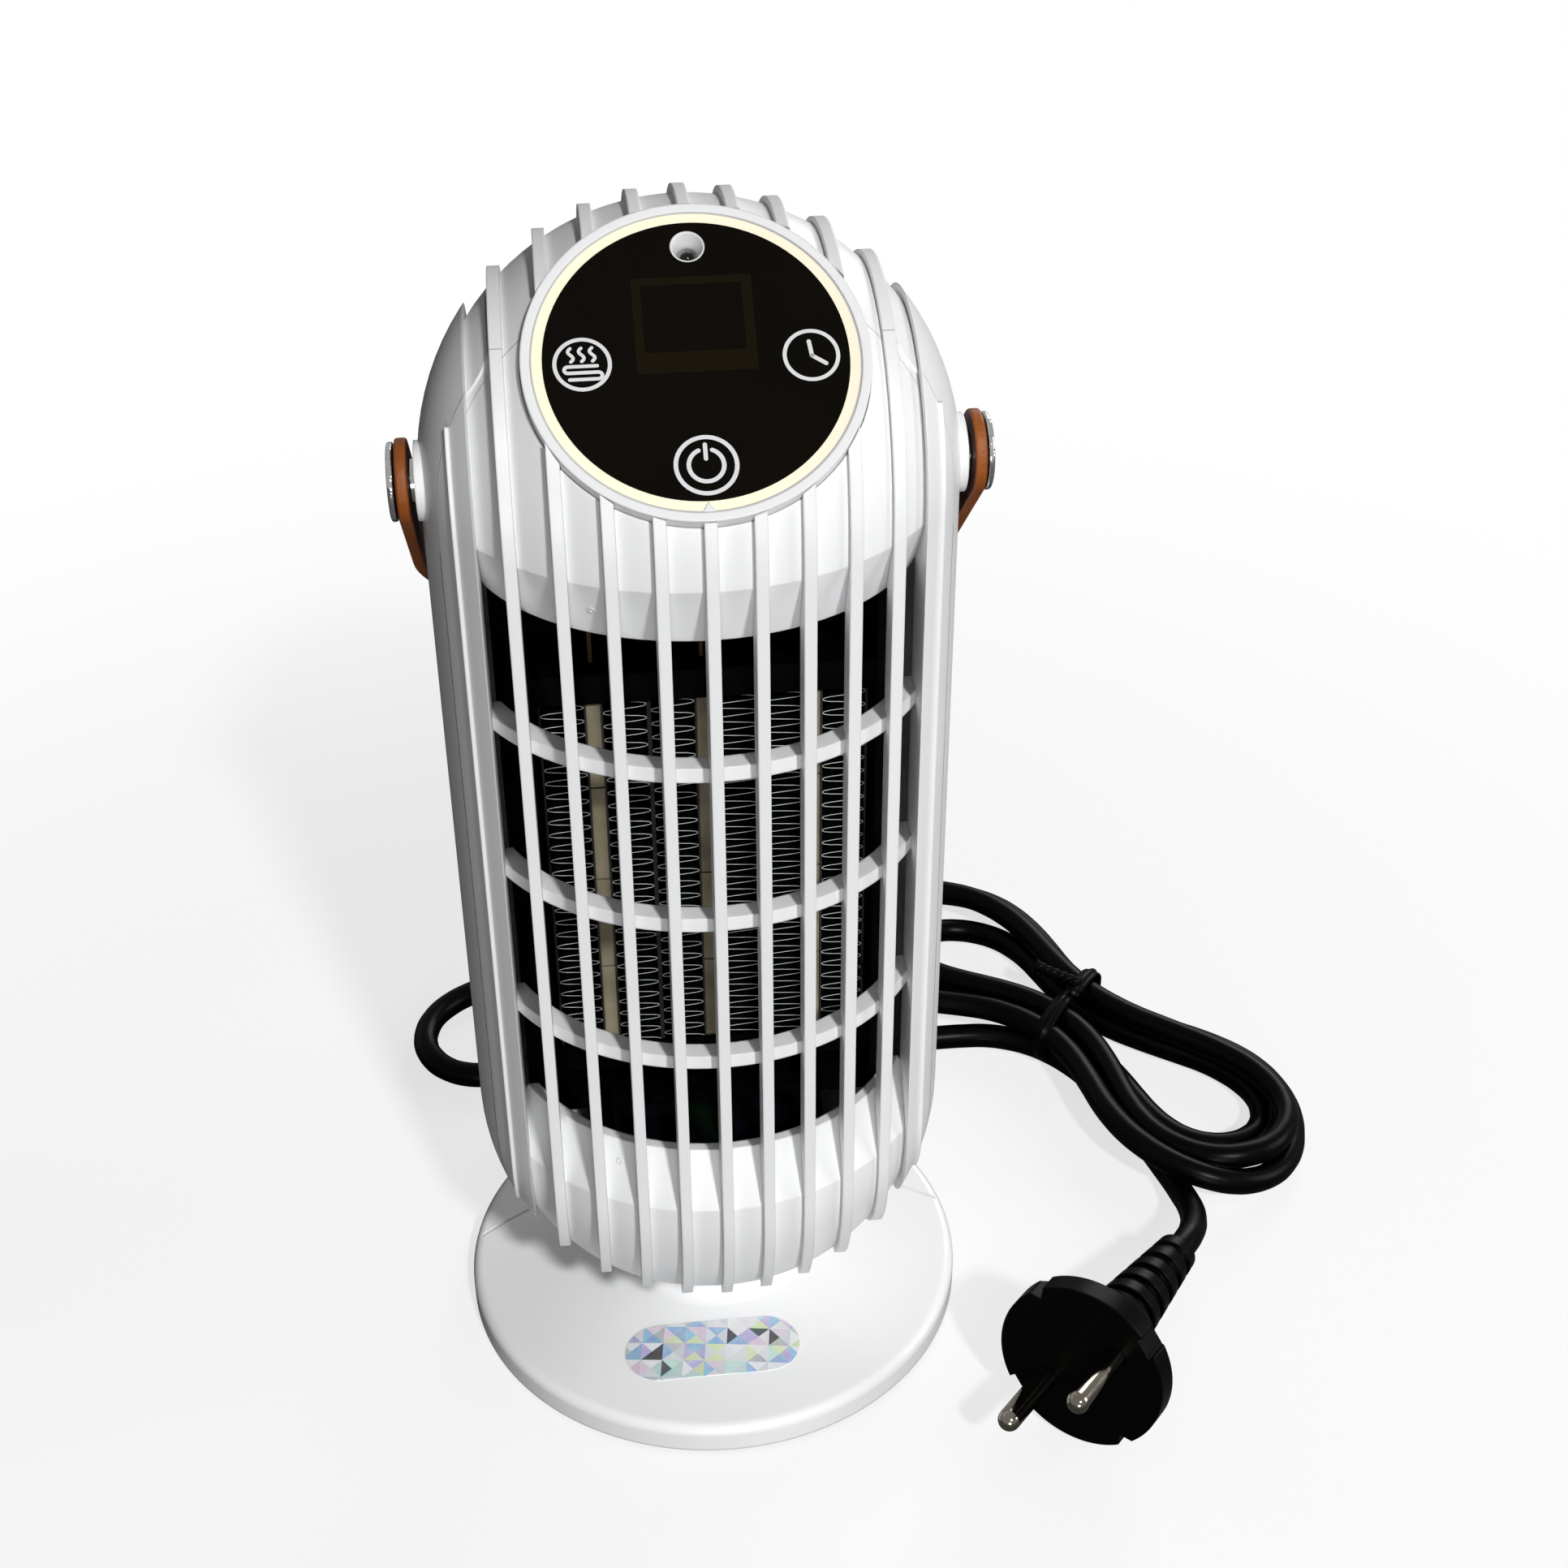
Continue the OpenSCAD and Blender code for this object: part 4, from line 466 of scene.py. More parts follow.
# From the strain relief, round the back, through the tied hank, to the plug, in millimetres
cordPlan = {
    "diameter": 6.2, "stepsBetween": 6, "roundSteps": 5,
    "route": [
        (0, 63.5, 24), (-0.3, 68.7, 21), (-1, 73.9, 18.1), (-2.3, 79, 15.3), (-4.7, 83.7, 12.6), (-8.2, 87.5, 10),
        (-12.8, 89.8, 7.6), (-18.1, 90.2, 5.6), (-23.4, 88.9, 4.2), (-28.3, 85.9, 3.4), (-32.6, 81.8, 3.1),
        (-36.7, 77.3, 3.1), (-41.1, 73.1, 3.2), (-46, 70, 3.4), (-51.5, 68.7, 3.5), (-57, 69.4, 3.5),
        (-61.8, 72.1, 3.5), (-65.4, 76.5, 3.5), (-67.3, 81.9, 3.4), (-67.2, 87.7, 3.3), (-65.3, 93.2, 3.3),
        (-61.7, 98, 3.2), (-56.9, 101.7, 3.2), (-51.4, 104.3, 3.2), (-45.6, 106, 3.2), (-39.6, 106.9, 3.2),
        (-33.5, 107.2, 3.2), (-27.4, 107.1, 3.2), (-21.4, 106.8, 3.2), (-15.4, 106.4, 3.2), (-9.4, 106, 3.2),
        (-3.3, 105.7, 3.2), (2.7, 105.7, 3.2), (8.7, 106.2, 3.2), (14.6, 107.1, 3.2), (20.4, 108.7, 3.2),
        (25.9, 110.9, 3.2), (31.2, 113.6, 3.2), (36.3, 116.8, 3.2), (41.2, 120.2, 3.2), (46.2, 123.6, 3.2),
        (51.3, 126.8, 3.2), (56.7, 129.5, 3.2), (62.3, 131.3, 3.2), (68.2, 132.2, 3.2), (74.1, 131.9, 3.2),
        (79.8, 130.3, 3.2), (85, 127.5, 3.2), (89.5, 123.7, 3.2), (93.1, 119, 3.2), (95.9, 113.7, 3.2),
        (98.1, 108.1, 3.2), (99.8, 102.4, 3.3), (101.4, 96.6, 3.3), (103.2, 90.9, 3.4), (105.4, 85.4, 3.4),
        (108.3, 80.3, 3.5), (111.8, 75.6, 3.5), (116, 71.4, 3.5), (120.7, 67.7, 3.5), (125.6, 64.2, 3.5),
        (130.5, 60.7, 3.5), (135.1, 56.8, 3.5), (139.1, 52.5, 3.5), (142.4, 47.5, 3.4), (144.6, 41.9, 3.3),
        (145.7, 36, 3.2), (145.6, 29.9, 3.1), (144.4, 24, 3.1), (142.2, 18.4, 3.3), (138.9, 13.4, 3.8),
        (134.5, 9.3, 4.6), (129.4, 6.5, 5.8), (123.8, 5.3, 7.2), (118.2, 5.8, 8.7), (112.8, 8, 9.9),
        (108.1, 11.6, 10.7), (104.4, 16.1, 11.1), (101.6, 21.4, 11), (99.6, 27.1, 10.8), (98.3, 32.9, 10.4),
        (97.4, 38.8, 10.1), (96.4, 44.8, 9.8), (95.1, 50.6, 9.6), (93.1, 56.2, 9.5), (90.3, 61.5, 9.5),
        (86.6, 66, 9.5), (82.1, 69.8, 9.5), (77, 72.8, 9.5), (71.5, 75, 9.4), (65.7, 76.8, 9.4), (60, 78.6, 9.4),
        (54.4, 80.8, 9.3), (49.2, 83.7, 9.3), (44.9, 87.7, 9.3), (41.7, 92.6, 9.3), (39.9, 98.2, 9.3),
        (39.8, 104.1, 9.3), (41.3, 109.9, 9.3), (44.2, 115.1, 9.3), (48.3, 119.4, 9.3), (53.3, 122.7, 9.3),
        (58.9, 124.8, 9.3), (64.9, 125.7, 9.3), (70.8, 125.2, 9.3), (76.5, 123.4, 9.3), (81.7, 120.5, 9.3),
        (86.1, 116.5, 9.3), (89.7, 111.7, 9.3), (92.5, 106.4, 9.4), (94.7, 100.9, 9.5), (96.7, 95.2, 9.5),
        (98.6, 89.5, 9.6), (100.8, 83.9, 9.7), (103.4, 78.5, 9.7), (106.5, 73.5, 9.7), (110.3, 68.8, 9.7),
        (114.5, 64.6, 9.6), (119, 60.7, 9.6), (123.7, 56.9, 9.5), (128.4, 53.1, 9.4), (132.8, 49, 9.3),
        (136.8, 44.4, 9.3), (139.9, 39.3, 9.3), (141.9, 33.6, 9.4), (142.5, 27.7, 9.5), (141.4, 21.9, 9.7),
        (138.5, 16.9, 9.9), (134.2, 13, 10.1), (128.8, 10.9, 10.3), (123, 10.6, 10.3), (117.5, 12.3, 10.2),
        (112.8, 15.7, 10.1), (109.2, 20.4, 9.8), (106.8, 25.8, 9.6), (105.3, 31.7, 9.4), (104.4, 37.7, 9.3),
        (103.7, 43.7, 9.3), (102.8, 49.6, 9.3), (101.4, 55.4, 9.4), (99.2, 61, 9.6), (96.1, 66.1, 9.8),
        (92.3, 70.6, 10.1), (87.7, 74.4, 10.4), (82.6, 77.6, 10.6), (77.2, 80.5, 10.7), (71.9, 83.5, 10.6),
        (67, 87.1, 10.3), (63.2, 91.5, 9.6), (60.9, 96.7, 8.6), (60.7, 102.2, 7.4), (62.5, 107.3, 6.1),
        (66.1, 111.3, 4.9), (71.1, 113.7, 4), (76.7, 114.2, 3.4), (82.2, 112.7, 3.1), (87.1, 109.4, 3.1),
        (90.9, 104.7, 3.2), (93.7, 99.3, 3.4), (95.8, 93.6, 3.5), (97.8, 87.8, 3.6), (100, 82.2, 3.7),
        (102.8, 76.9, 3.7), (106.3, 72, 3.6), (110.4, 67.7, 3.5), (115.1, 63.9, 3.4), (120, 60.3, 3.3),
        (125, 56.8, 3.2), (129.9, 53, 3.2), (134.2, 48.6, 3.1), (137.5, 43.6, 3.1), (139.4, 38.1, 3.1),
        (139.3, 32.4, 3.1), (137.2, 27.4, 3.1), (133.4, 23.7, 3.2), (128.4, 22, 3.2), (123, 22.5, 3.2),
        (118.1, 25, 3.2), (114.2, 29.3, 3.2), (111.4, 34.6, 3.2), (109.3, 40.4, 3.3), (107.5, 46.3, 3.3),
        (105.4, 52, 3.4), (102.8, 57.4, 3.5), (99.5, 62.5, 3.5), (95.8, 67.3, 3.6), (91.7, 71.8, 3.5),
        (87.4, 76.1, 3.5), (83, 80.3, 3.4), (78.5, 84.4, 3.3), (73.9, 88.5, 3.2), (69, 92.2, 3.2),
        (63.7, 95.5, 3.1), (58.1, 97.8, 3.1), (52.2, 98.5, 3.1), (46.5, 97.4, 3.2), (41.8, 94.4, 3.2),
        (38.7, 90, 3.2), (37.6, 84.8, 3.2), (38.8, 79.5, 3.2), (42, 75, 3.2), (46.7, 71.9, 3.2), (52.4, 70.3, 3.2),
        (58.5, 69.9, 3.2), (64.6, 70, 3.2), (70.6, 69.9, 3.2), (76.6, 69.2, 3.3), (82.2, 67.4, 3.3),
        (87.3, 64.5, 3.4), (91.8, 60.6, 3.4), (95.5, 56, 3.5), (98.6, 50.8, 3.6), (101, 45.4, 3.6),
        (103.2, 39.7, 3.5), (105.1, 34, 3.4), (106.9, 28.3, 3.2), (108.6, 22.5, 3.1), (110, 16.7, 3.2),
        (111.2, 10.8, 3.6), (111.8, 5, 4.6), (111.9, -0.8, 6.3), (111.1, -6.3, 8.2), (109.4, -11.6, 10.2),
        (106.7, -16.5, 11.8), (102.9, -21.1, 12.7),
    ],
}


def layCord(plan):
    points = [Vector(p) * millimetre for p in plan["route"]]
    curve = bpy.data.curves.new("mainsCord", "CURVE")
    curve.dimensions = "3D"
    curve.resolution_u = plan["stepsBetween"]
    curve.bevel_depth = plan["diameter"] * millimetre / 2
    curve.bevel_resolution = plan["roundSteps"]
    curve.use_fill_caps = True
    spline = curve.splines.new("BEZIER")
    spline.bezier_points.add(len(points) - 1)
    for knot, place in zip(spline.bezier_points, points):
        knot.co = place
        knot.handle_left_type = knot.handle_right_type = "AUTO"
    cord = addObject("mainsCord", curve)
    curve.materials.append(materials["cordRubber"])
    length = sum((b - a).length for a, b in zip(points, points[1:]))
    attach(cord, "stand")
    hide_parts("cord_lead", "cord_hank", "cord_tail")
    return cord, length


cord, cordLength = layCord(cordPlan)
print("mains cord laid, metres:", round(cordLength, 3))


def newPiece(name, mesh, material, body, replaced=()):
    piece = addObject(name, mesh)
    if material:
        mesh.materials.clear()
        mesh.materials.append(materials[material])
    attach(piece, body)
    if replaced:
        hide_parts(*replaced)
    return piece


def keepMesh(shape, name):
    mesh = bpy.data.meshes.new(name)
    shape.to_mesh(mesh)
    shape.free()
    return mesh


# Keeps what a carrier's modifiers make as a plain mesh, and drops the carrier
def bakeCarrier(carrier, name):
    seed = carrier.data
    mesh = bpy.data.meshes.new_from_object(carrier.evaluated_get(bpy.context.evaluated_depsgraph_get()))
    bpy.data.objects.remove(carrier)
    bpy.data.meshes.remove(seed)
    mesh.name = name
    return mesh


skinPlan = {"mergeReach": 2e-6, "flatAngle": 0.6}


# Merges a copy of a solid's skin and rounds its sharp edges
def roundedSkin(nodeName, name, width, segments, sharpAngle):
    shape = bmesh.new()
    shape.from_mesh(nodes[nodeName].data)
    bmesh.ops.remove_doubles(shape, verts=shape.verts, dist=skinPlan["mergeReach"])
    flat = math.radians(skinPlan["flatAngle"])
    bmesh.ops.dissolve_limit(shape, angle_limit=flat, verts=shape.verts, edges=shape.edges)
    for face in shape.faces:
        face.smooth = True
    carrier = addObject(name + "Carrier", keepMesh(shape, name + "Seed"))
    rounding = carrier.modifiers.new("rounding", "BEVEL")
    rounding.width, rounding.segments = width, segments
    rounding.limit_method = "ANGLE"
    rounding.angle_limit = math.radians(sharpAngle)
    rounding.use_clamp_overlap = rounding.harden_normals = False
    rounding.miter_outer = "MITER_ARC"
    evened = carrier.modifiers.new("evened", "WEIGHTED_NORMAL")
    evened.keep_sharp = True
    return bakeCarrier(carrier, name)


strapPlan = {
    "leg": 0.0305, "drop": 42, "pivot": (0, -0.0052, 0.2059), "rounding": 0.0006, "segments": 3,
    "sharpAngle": 40, "cutFacing": 0.93, "cutBlend": 0.35,
}


# The leather strap, with its cut edges marked for the finish
def cutStrap(plan):
    mesh = roundedSkin("leather_strap", "carryStrap", plan["rounding"], plan["segments"], plan["sharpAngle"])
    drop = math.radians(plan["drop"])
    pivot = Vector(plan["pivot"])
    along = Vector((0, math.cos(drop), -math.sin(drop)))
    outside = Vector((1, 0, 0))
    marks = mesh.attributes.new("cutEdge", "FLOAT", "CORNER")
    for polygon in mesh.polygons:
        middle = polygon.center - pivot
        reach = middle.dot(along) - plan["leg"]
        outward = outside if reach <= 0 else (outside * middle.x + along * reach).normalized()
        facing = abs(polygon.normal.dot(outward))
        for corner in polygon.loop_indices:
            marks.data[corner].value = min(1, max(0, (plan["cutFacing"] - facing) / plan["cutBlend"]))
    return newPiece("carryStrap", mesh, "waxedLeather", "handle", ("leather_strap",))


cutStrap(strapPlan)


# The cosine and sine of evenly spaced turns
def circle(count):
    return [(math.cos(2 * math.pi * k / count), math.sin(2 * math.pi * k / count)) for k in range(count)]


def bridge(shape, low, high):
    for k in range(len(low)):
        after = (k + 1) % len(low)
        shape.faces.new((low[k], low[after], high[after], high[k]))


# A ring with no radius is a single point, where the surface closes
def latheMesh(shape, profile, steps, place):
    rings = []
    for along, radius in profile:
        if radius == 0:
            rings.append([shape.verts.new(place @ Vector((0, 0, along)))])
        else:
            rings.append([shape.verts.new(place @ Vector((radius * c, radius * s, along))) for c, s in circle(steps)])
    for low, high in zip(rings, rings[1:]):
        if len(low) == len(high):
            bridge(shape, low, high)
        else:
            for k in range(steps):
                after = (k + 1) % steps
                tip = (low[0], high[after], high[k]) if len(low) == 1 else (low[k], low[after], high[0])
                shape.faces.new(tip)


def finishMesh(shape, name, smooth=True):
    bmesh.ops.recalc_face_normals(shape, faces=shape.faces)
    for face in shape.faces:
        face.smooth = smooth
    return keepMesh(shape, name)


rivetPlan = {  # distance along the pivot and radius, in millimetres
    "pivotHeight": 205.9, "pivotY": -5.2, "steps": 48,
    "profile": [(40.0, 0), (40.02, 2.3), (40.3, 2.5), (52.85, 2.5), (52.9, 6.6), (53.0, 6.95),
                (53.25, 7.1), (53.7, 7.1), (54.0, 6.95), (54.15, 6.6), (54.2, 6.1), (54.12, 5.6),
                (54.16, 5.2), (54.3, 4.2), (54.38, 2.4), (54.4, 0)],
}


def turnRivets(plan):
    shape = bmesh.new()
    for side in (-1, 1):
        place = Matrix.Translation((0, plan["pivotY"] * millimetre, plan["pivotHeight"] * millimetre)) @ \
            Matrix.Rotation(side * math.pi / 2, 4, "Y")
        latheMesh(shape, [(a * millimetre, r * millimetre) for a, r in plan["profile"]], plan["steps"], place)
    caps = finishMesh(shape, "rivetCaps")
    return newPiece("rivetCaps", caps, "hammeredChrome", "stand", ("pivot_posts",))


turnRivets(rivetPlan)

panelTurn = Matrix.Translation(panelPlan["middle"]) @ Matrix.Rotation(math.radians(panelPlan["tilt"]), 4, "X")


# Raises flat outlines on the panel into thin closed plates
def raisePlates(shape, outlines, low, high):
    for outline in outlines:
        top, bottom = [[shape.verts.new(panelTurn @ Vector((p.x, p.y, level))) for p in outline]
                       for level in (high, low)]
        shape.faces.new(top)
        shape.faces.new(bottom[::-1])
        for i in range(len(top)):
            j = (i + 1) % len(top)
            shape.faces.new((top[i], bottom[i], bottom[j], top[j]))


# Lays a printed stroke of even width along flat points on the panel, with round ends
def layStroke(shape, points, width, closed=False, printHeight=0.00004, endSteps=8):
    places = [Vector((x, y)) * millimetre for x, y in points]
    count = len(places)
    half = width * millimetre / 2
    sides = []
    for i, place in enumerate(places):
        before = places[i - 1] if i or closed else place
        after = places[(i + 1) % count] if i < count - 1 or closed else place
        along = (after - before).normalized()
        across = Vector((-along.y, along.x)) * half
        sides.append((place + across, place - across))
    spans = [(i, (i + 1) % count) for i in range(count if closed else count - 1)]
    outlines = [[sides[i][0], sides[i][1], sides[j][1], sides[j][0]] for i, j in spans]
    if not closed:
        for end, inner in ((0, 1), (-1, -2)):
            along = (places[end] - places[inner]).normalized()
            start = math.atan2(along.y, along.x) - math.pi / 2
            turns = [start + math.pi * k / endSteps for k in range(endSteps + 1)]
            outlines.append([places[end] + half * Vector((math.cos(a), math.sin(a))) for a in turns])
    raisePlates(shape, outlines, 0, printHeight)


def arcPoints(x, y, radius, start, end, steps):
    return [(x + radius * math.cos(math.radians(start + (end - start) * k / steps)),
             y + radius * math.sin(math.radians(start + (end - start) * k / steps))) for k in range(steps + 1)]


# A stroke that falls from its top and swings once to each side
def wavePoints(place, reach, top, fall, steps):
    return [(place - reach * math.sin(2 * math.pi * k / steps), top - fall * k / steps) for k in range(steps + 1)]


# Each mark's middle, its ring's radius, steps and width, and its strokes' widths and points from the middle
markPlan = {
    "heat": ((-19.0, 0.0), (4.58, 64, 0.68), [
        *((0.5704, wavePoints(place, 0.42, 3.0, 2.45, 16)) for place in (-1.84, -0.04, 1.76)),
        (0.62, [(2.45, -0.35), (-2.4, -0.35), *arcPoints(-2.45, -0.93, 0.58, 90, 270, 10), (-2.3, -1.51),
                (2.55, -1.51), *arcPoints(2.6, -2.12, 0.61, 90, -90, 10), (2.5, -2.73), (-2.2, -2.73)]),
    ]),
    "timer": ((19.15, -0.3), (4.48, 64, 0.68),
              [(0.72, [(-0.22, 2.55), (0.08, -0.1)]), (0.72, [(0.08, -0.1), (2.35, -1.65)])]),
    "power": ((0.1, -19.3), (5.03, 72, 0.74),
              [(0.74, arcPoints(0, 0, 2.9, 113, 427, 60)), (0.72, [(0, 3.7), (0, 1.15)])]),
}


def printMarks(plan):
    shape = bmesh.new()
    for (x, y), (radius, steps, ringWidth), strokes in plan.values():
        layStroke(shape, arcPoints(x, y, radius, 0, 360, steps)[:-1], ringWidth, True)
        for width, points in strokes:
            layStroke(shape, [(x + across, y + up) for across, up in points], width)
    return newPiece("panelMarks", finishMesh(shape, "panelMarks", False), "markWhite", "stand")


printMarks(markPlan)

lensPlan = {"place": (0, 20.45, -3.1), "radius": 1.25, "height": 1.2, "foot": -0.9, "steps": 32, "domeSteps": 8}


# The dark domed eye of the remote-control receiver, low in its white bowl
def turnLens(plan):
    shape = bmesh.new()
    radius, height, foot = [plan[size] * millimetre for size in ("radius", "height", "foot")]
    turns = [math.pi / 2 * k / plan["domeSteps"] for k in range(plan["domeSteps"])]
    dome = [(height * math.sin(a), radius * math.cos(a)) for a in turns]
    profile = [(foot, 0), (foot, radius)] + dome + [(height, 0)]
    latheMesh(shape, profile, plan["steps"], panelTurn @ Matrix.Translation(Vector(plan["place"]) * millimetre))
    lens = finishMesh(shape, "receiverLens")
    return newPiece("receiverLens", lens, "darkLens", "stand", ("receiver_eye",))


turnLens(lensPlan)

notchPlan = {"apex": (-0.1, -25.7), "half": 1.15, "foot": -27.55, "low": -0.7, "high": -0.1}


# The small white wedge that sits in the gap of the light ring
def fillNotch(plan):
    shape = bmesh.new()
    x, y = plan["apex"]
    outline = [(x, y), (x - plan["half"], plan["foot"]), (x + plan["half"], plan["foot"])]
    low, high = [[shape.verts.new(panelTurn @ (Vector((px, py, plan[level])) * millimetre)) for px, py in outline]
                 for level in ("low", "high")]
    shape.faces.new(high)
    shape.faces.new(low[::-1])
    for i in range(len(outline)):
        j = (i + 1) % len(outline)
        shape.faces.new((high[i], low[i], low[j], high[j]))
    return newPiece("ringWedge", finishMesh(shape, "ringWedge", False), "satinWhiteShell", "stand")


fillNotch(notchPlan)
print("panel marks printed")


def newGrower(name, sizes):
    kinds = {label: "Int" if isinstance(value, int) else "Float" for label, value in sizes.items()}
    inputs = {"Geometry": "Geometry", **kinds, "Finish": "Material"}
    return newGroup(name, "GeometryNodeTree", inputs, {"Geometry": "Geometry"})


def closeGrower(tree, shape, given, out):
    realize = addNode(tree, "GeometryNodeRealizeInstances", {0: shape})
    paint = addNode(tree, "GeometryNodeSetMaterial", {"Geometry": realize.outputs[0], "Material": given["Finish"]})
    fill(tree, out, {"Geometry": paint.outputs[0]})


# Runs a growing tree once and keeps the plain mesh
def growMesh(name, tree, sizes, finish, smooth=False):
    carrier = addObject(name + "Carrier", bpy.data.meshes.new(name + "Seed"))
    grower = carrier.modifiers.new("grower", "NODES")
    grower.node_group = tree
    values = {**sizes, "Finish": materials[finish]}
    for item in tree.interface.items_tree:
        if item.in_out == "INPUT" and item.name in values:
            grower[item.identifier] = values[item.name]
    mesh = bakeCarrier(carrier, name)
    for polygon in mesh.polygons:
        polygon.use_smooth = smooth
    return mesh


finPlan = {
    "Folds": 28, "Fold Pitch": 0.00298, "Half Width": 0.00398, "Depth": 0.0138, "Foil Thickness": 0.00015,
    "Lowest": 0.08312, "Middle Y": -0.0113, "Unit Pitch": 0.0205, "Strip Offset": 0.0058, "Units": 3,
}
foldSteps = 14
foldBluntness = 1.5  # higher makes the folds' ends squarer


# A strip of foil folded to and fro, set on both sides of every row of stones
def buildFoldedFins(sizes):
    tree, given, out = newGrower("foldedFins", sizes)

    def do(operation, *values):
        return mathNode(tree, operation, *values)

    corners = do("ADD", do("MULTIPLY", given["Folds"], foldSteps), 1)
    line = addNode(tree, "GeometryNodeMeshLine", {"Count": corners})
    step = do("DIVIDE", tree.nodes.new("GeometryNodeInputIndex").outputs[0], foldSteps)
    swing = do("SINE", do("MULTIPLY", step, 2 * math.pi))
    spread = do("DIVIDE", do("TANH", do("MULTIPLY", swing, foldBluntness)), math.tanh(foldBluntness))
    climb = do("ADD", do("MULTIPLY", step, given["Fold Pitch"]), given["Lowest"])
    place = joinVector(tree, do("MULTIPLY", spread, given["Half Width"]), given["Middle Y"], climb)
    folded = addNode(tree, "GeometryNodeSetPosition", {"Geometry": line.outputs["Mesh"], "Position": place})
    spine = addNode(tree, "GeometryNodeMeshToCurve", {"Mesh": folded.outputs[0]})
    section = addNode(tree, "GeometryNodeCurvePrimitiveQuadrilateral",
                      {"Height": given["Foil Thickness"], "Width": given["Depth"]})
    strip = addNode(tree, "GeometryNodeCurveToMesh",
                    {"Curve": spine.outputs[0], "Profile Curve": section.outputs[0], "Fill Caps": True})
    pair = addNode(tree, "GeometryNodeMeshLine", {
        "Count": 2, "Start Location": joinVector(tree, do("MULTIPLY", given["Strip Offset"], -1)),
        "Offset": joinVector(tree, given["Strip Offset"]),
    }, mode="END_POINTS")
    halfRow = do("MULTIPLY", do("SUBTRACT", given["Units"], 1), -0.5)
    row = addNode(tree, "GeometryNodeMeshLine", {
        "Count": given["Units"], "Start Location": joinVector(tree, do("MULTIPLY", halfRow, given["Unit Pitch"])),
        "Offset": joinVector(tree, given["Unit Pitch"]),
    })
    shape = strip.outputs["Mesh"]
    for points in (pair, row):
        setting = {"Points": points.outputs["Mesh"], "Instance": shape}
        shape = addNode(tree, "GeometryNodeInstanceOnPoints", setting).outputs[0]
    closeGrower(tree, shape, given, out)
    return tree


finMesh = growMesh("foldedFins", buildFoldedFins(finPlan), finPlan, "finFoilPaintedLight")
newPiece("foldedFins", finMesh, None, "stand", ("heat_fins",))
print("folded fins grown:", len(finMesh.polygons), "faces")

screwSizes = {"Head Radius": 0.0028, "Head Height": 0.0014, "Recess Reach": 0.0018, "Recess Width": 0.0007,
              "Recess Depth": 0.0009, "Shank Radius": 0.00148, "Shank Length": 0.0045}
# The replaced node, shank length, head height, the way the screws point, and the places of the undersides
# of the heads in millimetres
screwPlan = {
    "housing": ("housing_screws", 0.0165, 0.0014, Matrix.Rotation(math.pi / 2, 4, "X"),
                ((33, -10.3, 59.7), (33, -10.3, 201.2), (-33, -10.3, 59.7), (-33, -10.3, 201.2))),
    "base": ("base_screws", 0.0040, 0.0009, Matrix.Identity(4),
             ((46, 0, 1.5), (0, 46, 1.5), (-46, 0, 1.5), (0, -46, 1.5))),
}
recessShare = 0.6
headSides, shankSides = 32, 16
firstTurn = 0.5  # radians, and one more for each next screw


# One cross-headed screw along +Z, with the underside of its head at the origin
def buildCrossScrew(sizes):
    tree, given, out = newGrower("crossScrew", sizes)

    def lift(shape, height):
        values = {"Geometry": shape.outputs["Mesh"], "Translation": joinVector(tree, z=height)}
        return addNode(tree, "GeometryNodeTransform", values).outputs[0]

    def rod(radius, depth, middle, sides):
        values = {"Vertices": sides, "Radius": radius, "Depth": depth}
        return lift(addNode(tree, "GeometryNodeMeshCylinder", values), middle)

    def bar(x, y, z, middle):
        return lift(addNode(tree, "GeometryNodeMeshCube", {"Size": joinVector(tree, x, y, z)}), middle)

    height, length = given["Head Height"], given["Shank Length"]
    head = rod(given["Head Radius"], height, mathNode(tree, "MULTIPLY", height, -0.5), headSides)
    top = mathNode(tree, "MULTIPLY", height, -1)
    long, deep = [mathNode(tree, "MULTIPLY", given[label], 2) for label in ("Recess Reach", "Recess Depth")]
    wide = given["Recess Width"]
    carve = addNode(tree, "GeometryNodeMeshBoolean", {"Mesh 1": head}, operation="DIFFERENCE", solver="EXACT")
    for block in (bar(long, wide, deep, top), bar(wide, long, deep, top)):
        fill(tree, carve.inputs, {"Mesh 2": block})
    shank = rod(given["Shank Radius"], length, mathNode(tree, "MULTIPLY", length, 0.5), shankSides)
    join = tree.nodes.new("GeometryNodeJoinGeometry")
    for piece in (shank, carve.outputs["Mesh"]):
        fill(tree, join.inputs, {0: piece})
    closeGrower(tree, join.outputs[0], given, out)
    return tree


def setScrews():
    tree = buildCrossScrew(screwSizes)
    for group, (replaced, length, head, turn, spots) in screwPlan.items():
        sizes = {**screwSizes, "Shank Length": length, "Head Height": head, "Recess Depth": head * recessShare}
        one = growMesh(group + "Screw", tree, sizes, "zincSteel")
        shape = bmesh.new()
        for i, spot in enumerate(spots):
            copy = one.copy()
            turned = turn @ Matrix.Rotation(firstTurn + i, 4, "Z")
            copy.transform(Matrix.Translation(Vector(spot) * millimetre) @ turned)
            shape.from_mesh(copy)
            bpy.data.meshes.remove(copy)
        mesh = keepMesh(shape, group + "Screws")
        newPiece(group + "Screws", mesh, "zincSteel", "stand", (replaced,))


setScrews()
print("screws set")

tiePlan = {
    "middle": (98, 70.6), "turn": -38, "half": 15.6, "low": 1.05, "high": 13.95, "bandWidth": 4.2, "bandThick": 0.9,
    "wireRadius": 0.95, "tail": [(101.5, 73.0, 14.9), (98.2, 76.6, 14.2), (94.8, 80.2, 13.8), (92.0, 83.6, 13.6)],
    "twists": 3.2, "tailRadius": 0.95, "twistRadius": 0.85, "loopSteps": 72, "twistSteps": 90, "lap": 0.9,
    "cornering": 0.62, "bandSides": 12, "wireSides": 10, "tailSides": 8,
}


